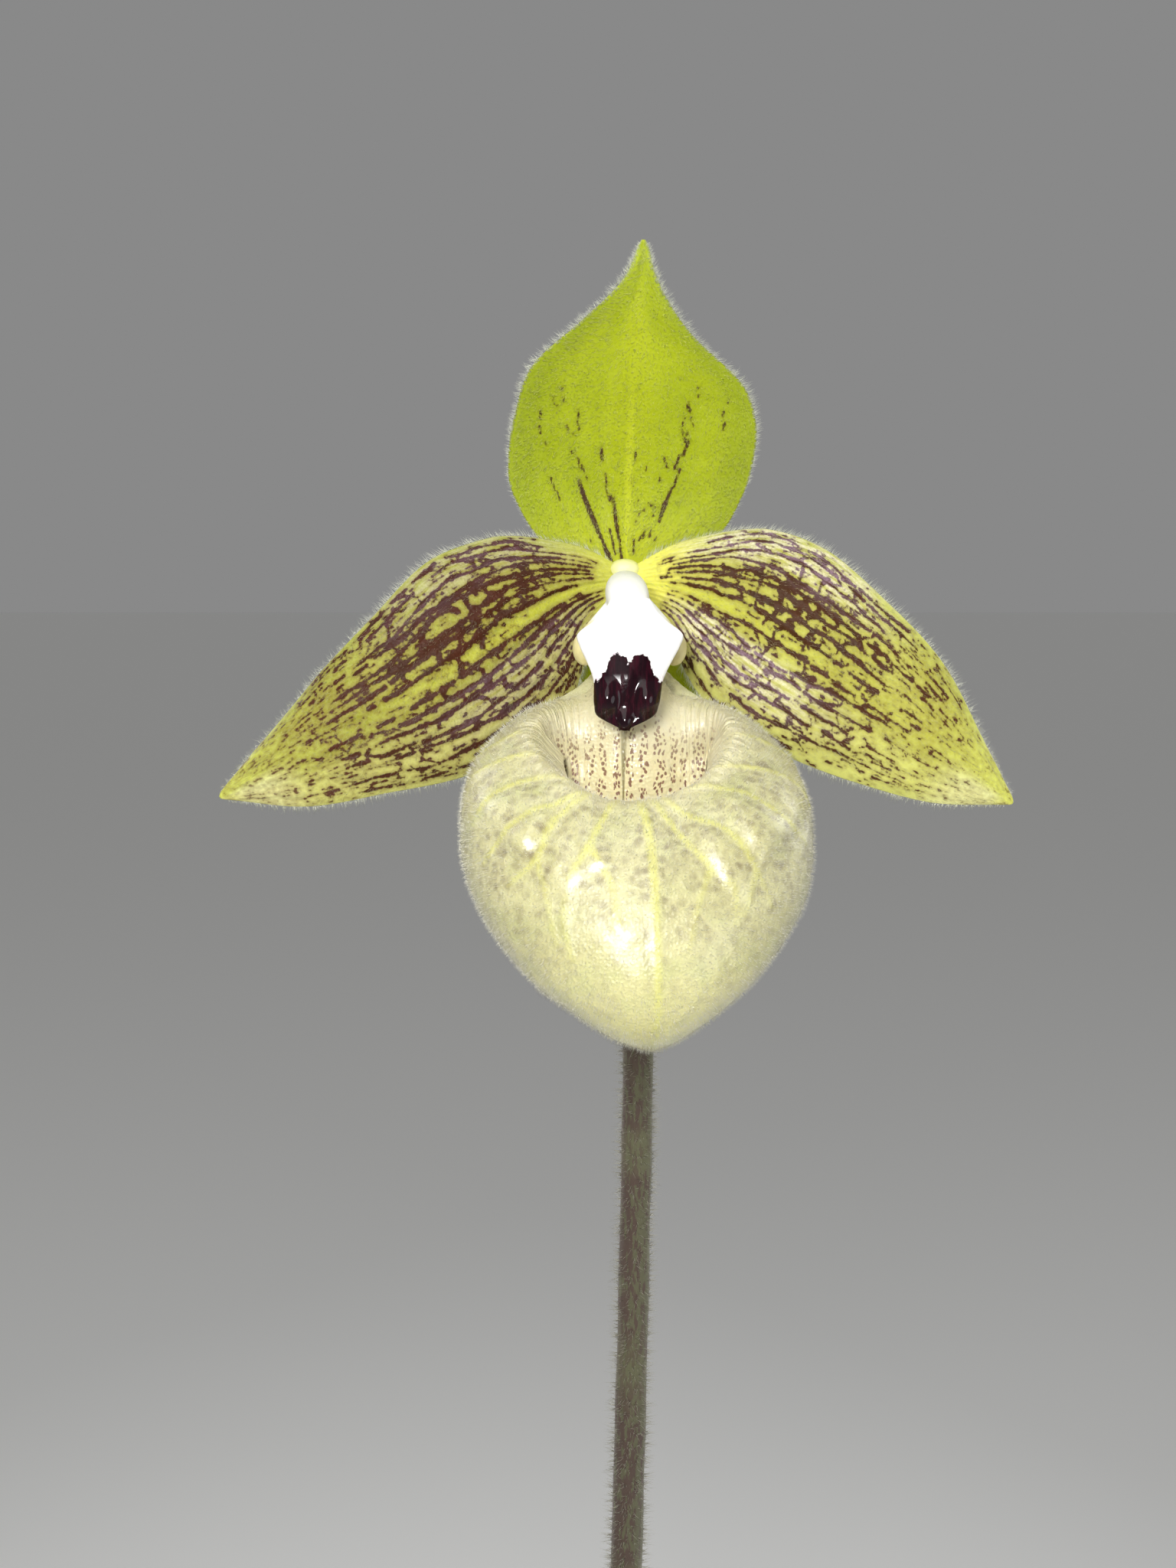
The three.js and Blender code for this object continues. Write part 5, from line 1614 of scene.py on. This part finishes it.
leafColours = leafPaint()
for index, leaf in enumerate(leaves):
    sheet = leafSheet(leaf, index)

    def leafThickness(s, q):
        thin = lerp(leafShape["base"], leafShape["middle"], smooth(0, 0.3, s))
        return lerp(thin, leafShape["margin"], np.abs(q) ** 1.5) * lerp(1, 0.6, smooth(0.7, 1, s))

    def leafRelief(s, q, face):
        # shallow waves along the blade, and a keel under the midrib
        waves = 0.35 * ripple(vec(9 * q, leaf["long"] * s * 0.5, 0 * s), 16.0, 30 + index)
        keel = 0.35 * bell(q, 0, 0.08) * (face > 0)
        return (waves * smooth(0.15, 0.4, s) + keel * smooth(0.05, 0.3, s)) * (1 - q**6) * smooth(1, 0.93, s)

    size = leafShape["rows"], leafShape["cols"]
    rings, _, s, q, face = bladeRings(sheet, leafThickness, leafRelief, *size)
    points, faces, corners, ends = loft(rings, closeWrap(q), closeWrap(s), {"face": face + 0 * s})
    name = f"leaf_{index + 1}"
    place(name + "_blade", makeMesh(name, points, faces, corners, ends), leafColours, "leaf", (name,))
print("stage: leaves")


# Pot, bark and crown

pot = {
    "height": 105, "topRadius": 60, "baseRadius": 43, "wall": 1.6, "floor": 2.4, "rimHeight": 11,
    "rimStep": 2.4, "edge": 1.0, "sides": 144, "drainCount": 8, "drainRadius": 4.5, "drainCircle": 30,
}


def potRadius(z):
    return lerp(pot["baseRadius"], pot["topRadius"] - pot["rimStep"], z / (pot["height"] - pot["rimHeight"]))


def potProfile():
    # Round the wall from the middle of the underside up the outside, over the rim and down
    band, high, edge = pot["height"] - pot["rimHeight"], pot["height"], pot["edge"]
    top, base, wall, ground = pot["topRadius"], pot["baseRadius"], pot["wall"], pot["floor"]
    corners = [
        (0.02, 0), (base - 6, 0), (base - edge, 0), (potRadius(edge), edge),
        (potRadius(30), 30), (potRadius(60), 60), (potRadius(band) - 0.05, band),
        (top - edge / 2, band + edge), (top - 0.3, band + 5), (top, high - edge),
        (top - edge, high), (top - wall - edge, high), (top - wall - edge / 2 - 1, band + edge),
        (potRadius(band) - wall, band - edge), (potRadius(50) - wall, 50),
        (potRadius(ground + edge) - wall, ground + edge),
        (potRadius(ground) - wall - edge, ground), (0.02, ground),
    ]
    return softProfile(corners, 0.7)


def potPaint():
    # Matt black plastic: fine moulding grain, faint rings, dust and dried water marks
    paint = Paint("potPlastic")
    at = paint.place()
    x, y, z = paint.parts(at)
    dust = paint.noise(paint.vector(x, y, z * 0.35), 14.0, 4.0, 0.65)
    low = paint.step(40.0, 0.0, z) * 0.5 + 0.25
    scuff = paint.step(0.5, 0.72, dust) * low
    colour = paint.mix(scuff * 0.5, rgb(30, 31, 33), rgb(96, 90, 80))
    specks = paint.step(0.16, 0.08, paint.cells(at, 2.6)) * 0.35
    colour = paint.mix(specks, colour, rgb(120, 110, 94))
    grain = paint.noise(at, 0.5, 2.0)
    rings = paint.maths("SINE", z * 2.6)
    paint.finish({
        "Base Color": colour,
        "Roughness": 0.44 + scuff * 0.4 + (grain - 0.5) * 0.1,
        "Normal": paint.bump(grain * 0.7 + rings * 0.12, 0.05),
        "Specular IOR Level": 0.5,
    })
    return paint


points, faces, _, _ = loft(latheRings(potProfile(), pot["sides"]))
potPiece = place("pot_shell", makeMesh("pot", points, faces), potPaint(), "pot_plastic", ("pot",))
drills = []
for i in range(pot["drainCount"]):
    angle = 2 * math.pi * (i + 0.5) / pot["drainCount"]
    heart = np.array([pot["drainCircle"] * math.cos(angle), pot["drainCircle"] * math.sin(angle), 0])
    r = pot["drainRadius"]
    drillRings = latheRings([(r, -3), (r, 6)], 28) + heart
    drills.append(loft(drillRings)[:2])
drill = bpy.data.objects.new("drill", makeMesh("drill", *joinShapes(drills)))
bpy.context.scene.collection.objects.link(drill)
cut = potPiece.modifiers.new("drains", "BOOLEAN")
cut.operation = "DIFFERENCE"
cut.object = drill
cut.solver = "EXACT"
keepResult(potPiece)
bpy.data.objects.remove(drill)

bark = {
    "top": 91, "well": 11.2, "wellFloor": 84, "chips": 260,
    "long": (9, 22), "wide": (7, 13), "thick": (3, 7), "highest": 99.4, "seed": 11,
}


def barkBed():
    # A plug under the chips, with a bumpy top and the well that the leaves stand in
    z1, reach = bark["top"], potRadius(bark["top"]) - pot["wall"] - 0.3
    well, deep = bark["well"], bark["wellFloor"]
    low = pot["floor"] + 0.3
    corners = [
        (0.02, low), (potRadius(low) - 4, low), (potRadius(low + 2) - 2.2, low + 2),
        (potRadius(60) - 2.0, 60), (reach - 2.0, z1 - 2), (reach - 3.5, z1 - 0.5),
        (45, z1), (38, z1), (31, z1), (25, z1), (19, z1),
        (well + 1.2, z1 - 0.2), (well + 0.2, z1 - 1.2), (well + 0.2, deep), (5, deep), (0.02, deep),
    ]
    rings = latheRings(softProfile(corners, 1.5, 4), 120)
    level = smooth(z1 - 4, z1 - 1, rings[..., 2]) * smooth(12.5, 16, np.hypot(rings[..., 0], rings[..., 1]))
    rings[..., 2] += level * (0.9 * ripple(rings, 8.0, 61) + 0.4 * ripple(rings, 3.0, 62) - 0.6)
    return loft(rings)[:2]


def barkChip(rng, long, wide, thick):
    # A flake: a rounded box made from sine and cosine powers, roughened along its grain
    lat = np.linspace(0.03, math.pi - 0.03, 6)[:, None]
    turn = 2 * math.pi * np.arange(10) / 10
    power = lambda x, p: np.sign(x) * np.abs(x) ** p
    x = power(np.sin(lat), 0.35) * power(np.cos(turn), 0.5) * long / 2
    y = power(np.sin(lat), 0.35) * power(np.sin(turn), 0.5) * wide / 2
    z = power(np.cos(lat), 0.6) * thick / 2 + 0 * turn
    shape = vec(x, y, z)
    seed = int(rng.integers(1, 99999))
    shape *= 1 + 0.16 * ripple(shape, 9.0, seed)[..., None]
    shape += 0.35 * ripple(shape * [0.3, 1, 1], 3.0, seed + 1)[..., None] * unit(shape)
    return shape


def turned(shape, tiltX, tiltY, spin):
    cx, sx, cy, sy, cz, sz = (f(a) for a in (tiltX, tiltY, spin) for f in (math.cos, math.sin))
    aboutX = np.array([[1, 0, 0], [0, cx, -sx], [0, sx, cx]])
    aboutY = np.array([[cy, 0, sy], [0, 1, 0], [-sy, 0, cy]])
    aboutZ = np.array([[cz, -sz, 0], [sz, cz, 0], [0, 0, 1]])
    return shape @ (aboutZ @ aboutY @ aboutX).T


def barkChips():
    # Chips spread by the golden angle between the well and the wall, in two loose layers
    rng = np.random.default_rng(bark["seed"])
    reach = potRadius(bark["top"]) - pot["wall"] - 1.0
    shapes = []
    for i in range(bark["chips"]):
        long, wide, thick = (rng.uniform(*bark[key]) for key in ("long", "wide", "thick"))
        share = (i + 0.5) / bark["chips"]
        inner, outer = bark["well"] + 2 + wide * 0.45, reach - long * 0.5
        r = math.sqrt(lerp(inner**2, outer**2, share))
        angle = i * goldenAngle + rng.uniform(-0.2, 0.2)
        high = bark["top"] + rng.uniform(-1.5, 3.6) + thick * 0.1
        chip = turned(barkChip(rng, long, wide, thick), *rng.uniform(-0.45, 0.45, 2), rng.uniform(0, 6.28))
        chip += [r * math.cos(angle), r * math.sin(angle), high]
        chip[..., 2] = np.minimum(chip[..., 2], bark["highest"])
        points, faces, _, _ = loft(chip)
        shapes.append((points, facingOut(points, faces)))
    return joinShapes(shapes)


def barkPaint():
    # Red-brown bark with paler worn faces, dark cracks along the grain and a chalky dust
    paint = Paint("bark")
    at = paint.place()
    patch = paint.noise(at, 7.0, 3.0)
    drawnOut = paint.node("VectorMath", {"operation": "MULTIPLY"}, {0: at, 1: (1.0, 0.35, 1.4)})
    grain = paint.noise(drawnOut, 1.3, 5.0, 0.65)
    cracks = paint.cells(at, 2.6, "DISTANCE_TO_EDGE", 1.0)
    colour = paint.mix(paint.step(0.35, 0.65, patch), rgb(84, 52, 34), rgb(132, 88, 56))
    colour = paint.mix(paint.step(0.45, 0.75, grain) * 0.7, colour, rgb(168, 126, 86))
    colour = paint.mix(paint.step(0.12, 0.0, cracks) * 0.6, colour, rgb(40, 24, 16))
    colour = paint.mix(paint.step(0.6, 0.8, paint.noise(at, 4.0, 4.0)) * 0.35, colour, rgb(176, 162, 140))
    paint.finish({
        "Base Color": colour,
        "Roughness": 0.82 + (grain - 0.5) * 0.2,
        "Normal": paint.bump(grain * 1.2 + cracks * 0.8, 0.7),
    })
    return paint


barkMesh = makeMesh("bark", *joinShapes([barkBed(), barkChips()]))
place("bark_chips", barkMesh, barkPaint(), "bark", ("bark_mix",))

crownPaint = Paint("root")
at = crownPaint.place()
fibre = crownPaint.noise(at, 1.2, 4.0, 0.6)
crownPaint.finish({
    "Base Color": crownPaint.mix(fibre, rgb(96, 66, 42), rgb(164, 134, 96)),
    "Roughness": 0.85 + (fibre - 0.5) * 0.2,
    "Normal": crownPaint.bump(fibre, 0.3),
})
crownMaterials = bpy.data.objects["crown_and_roots"].data.materials
crownMaterials.clear()
crownMaterials.append(crownPaint.material)
print("stage: pot and bark")
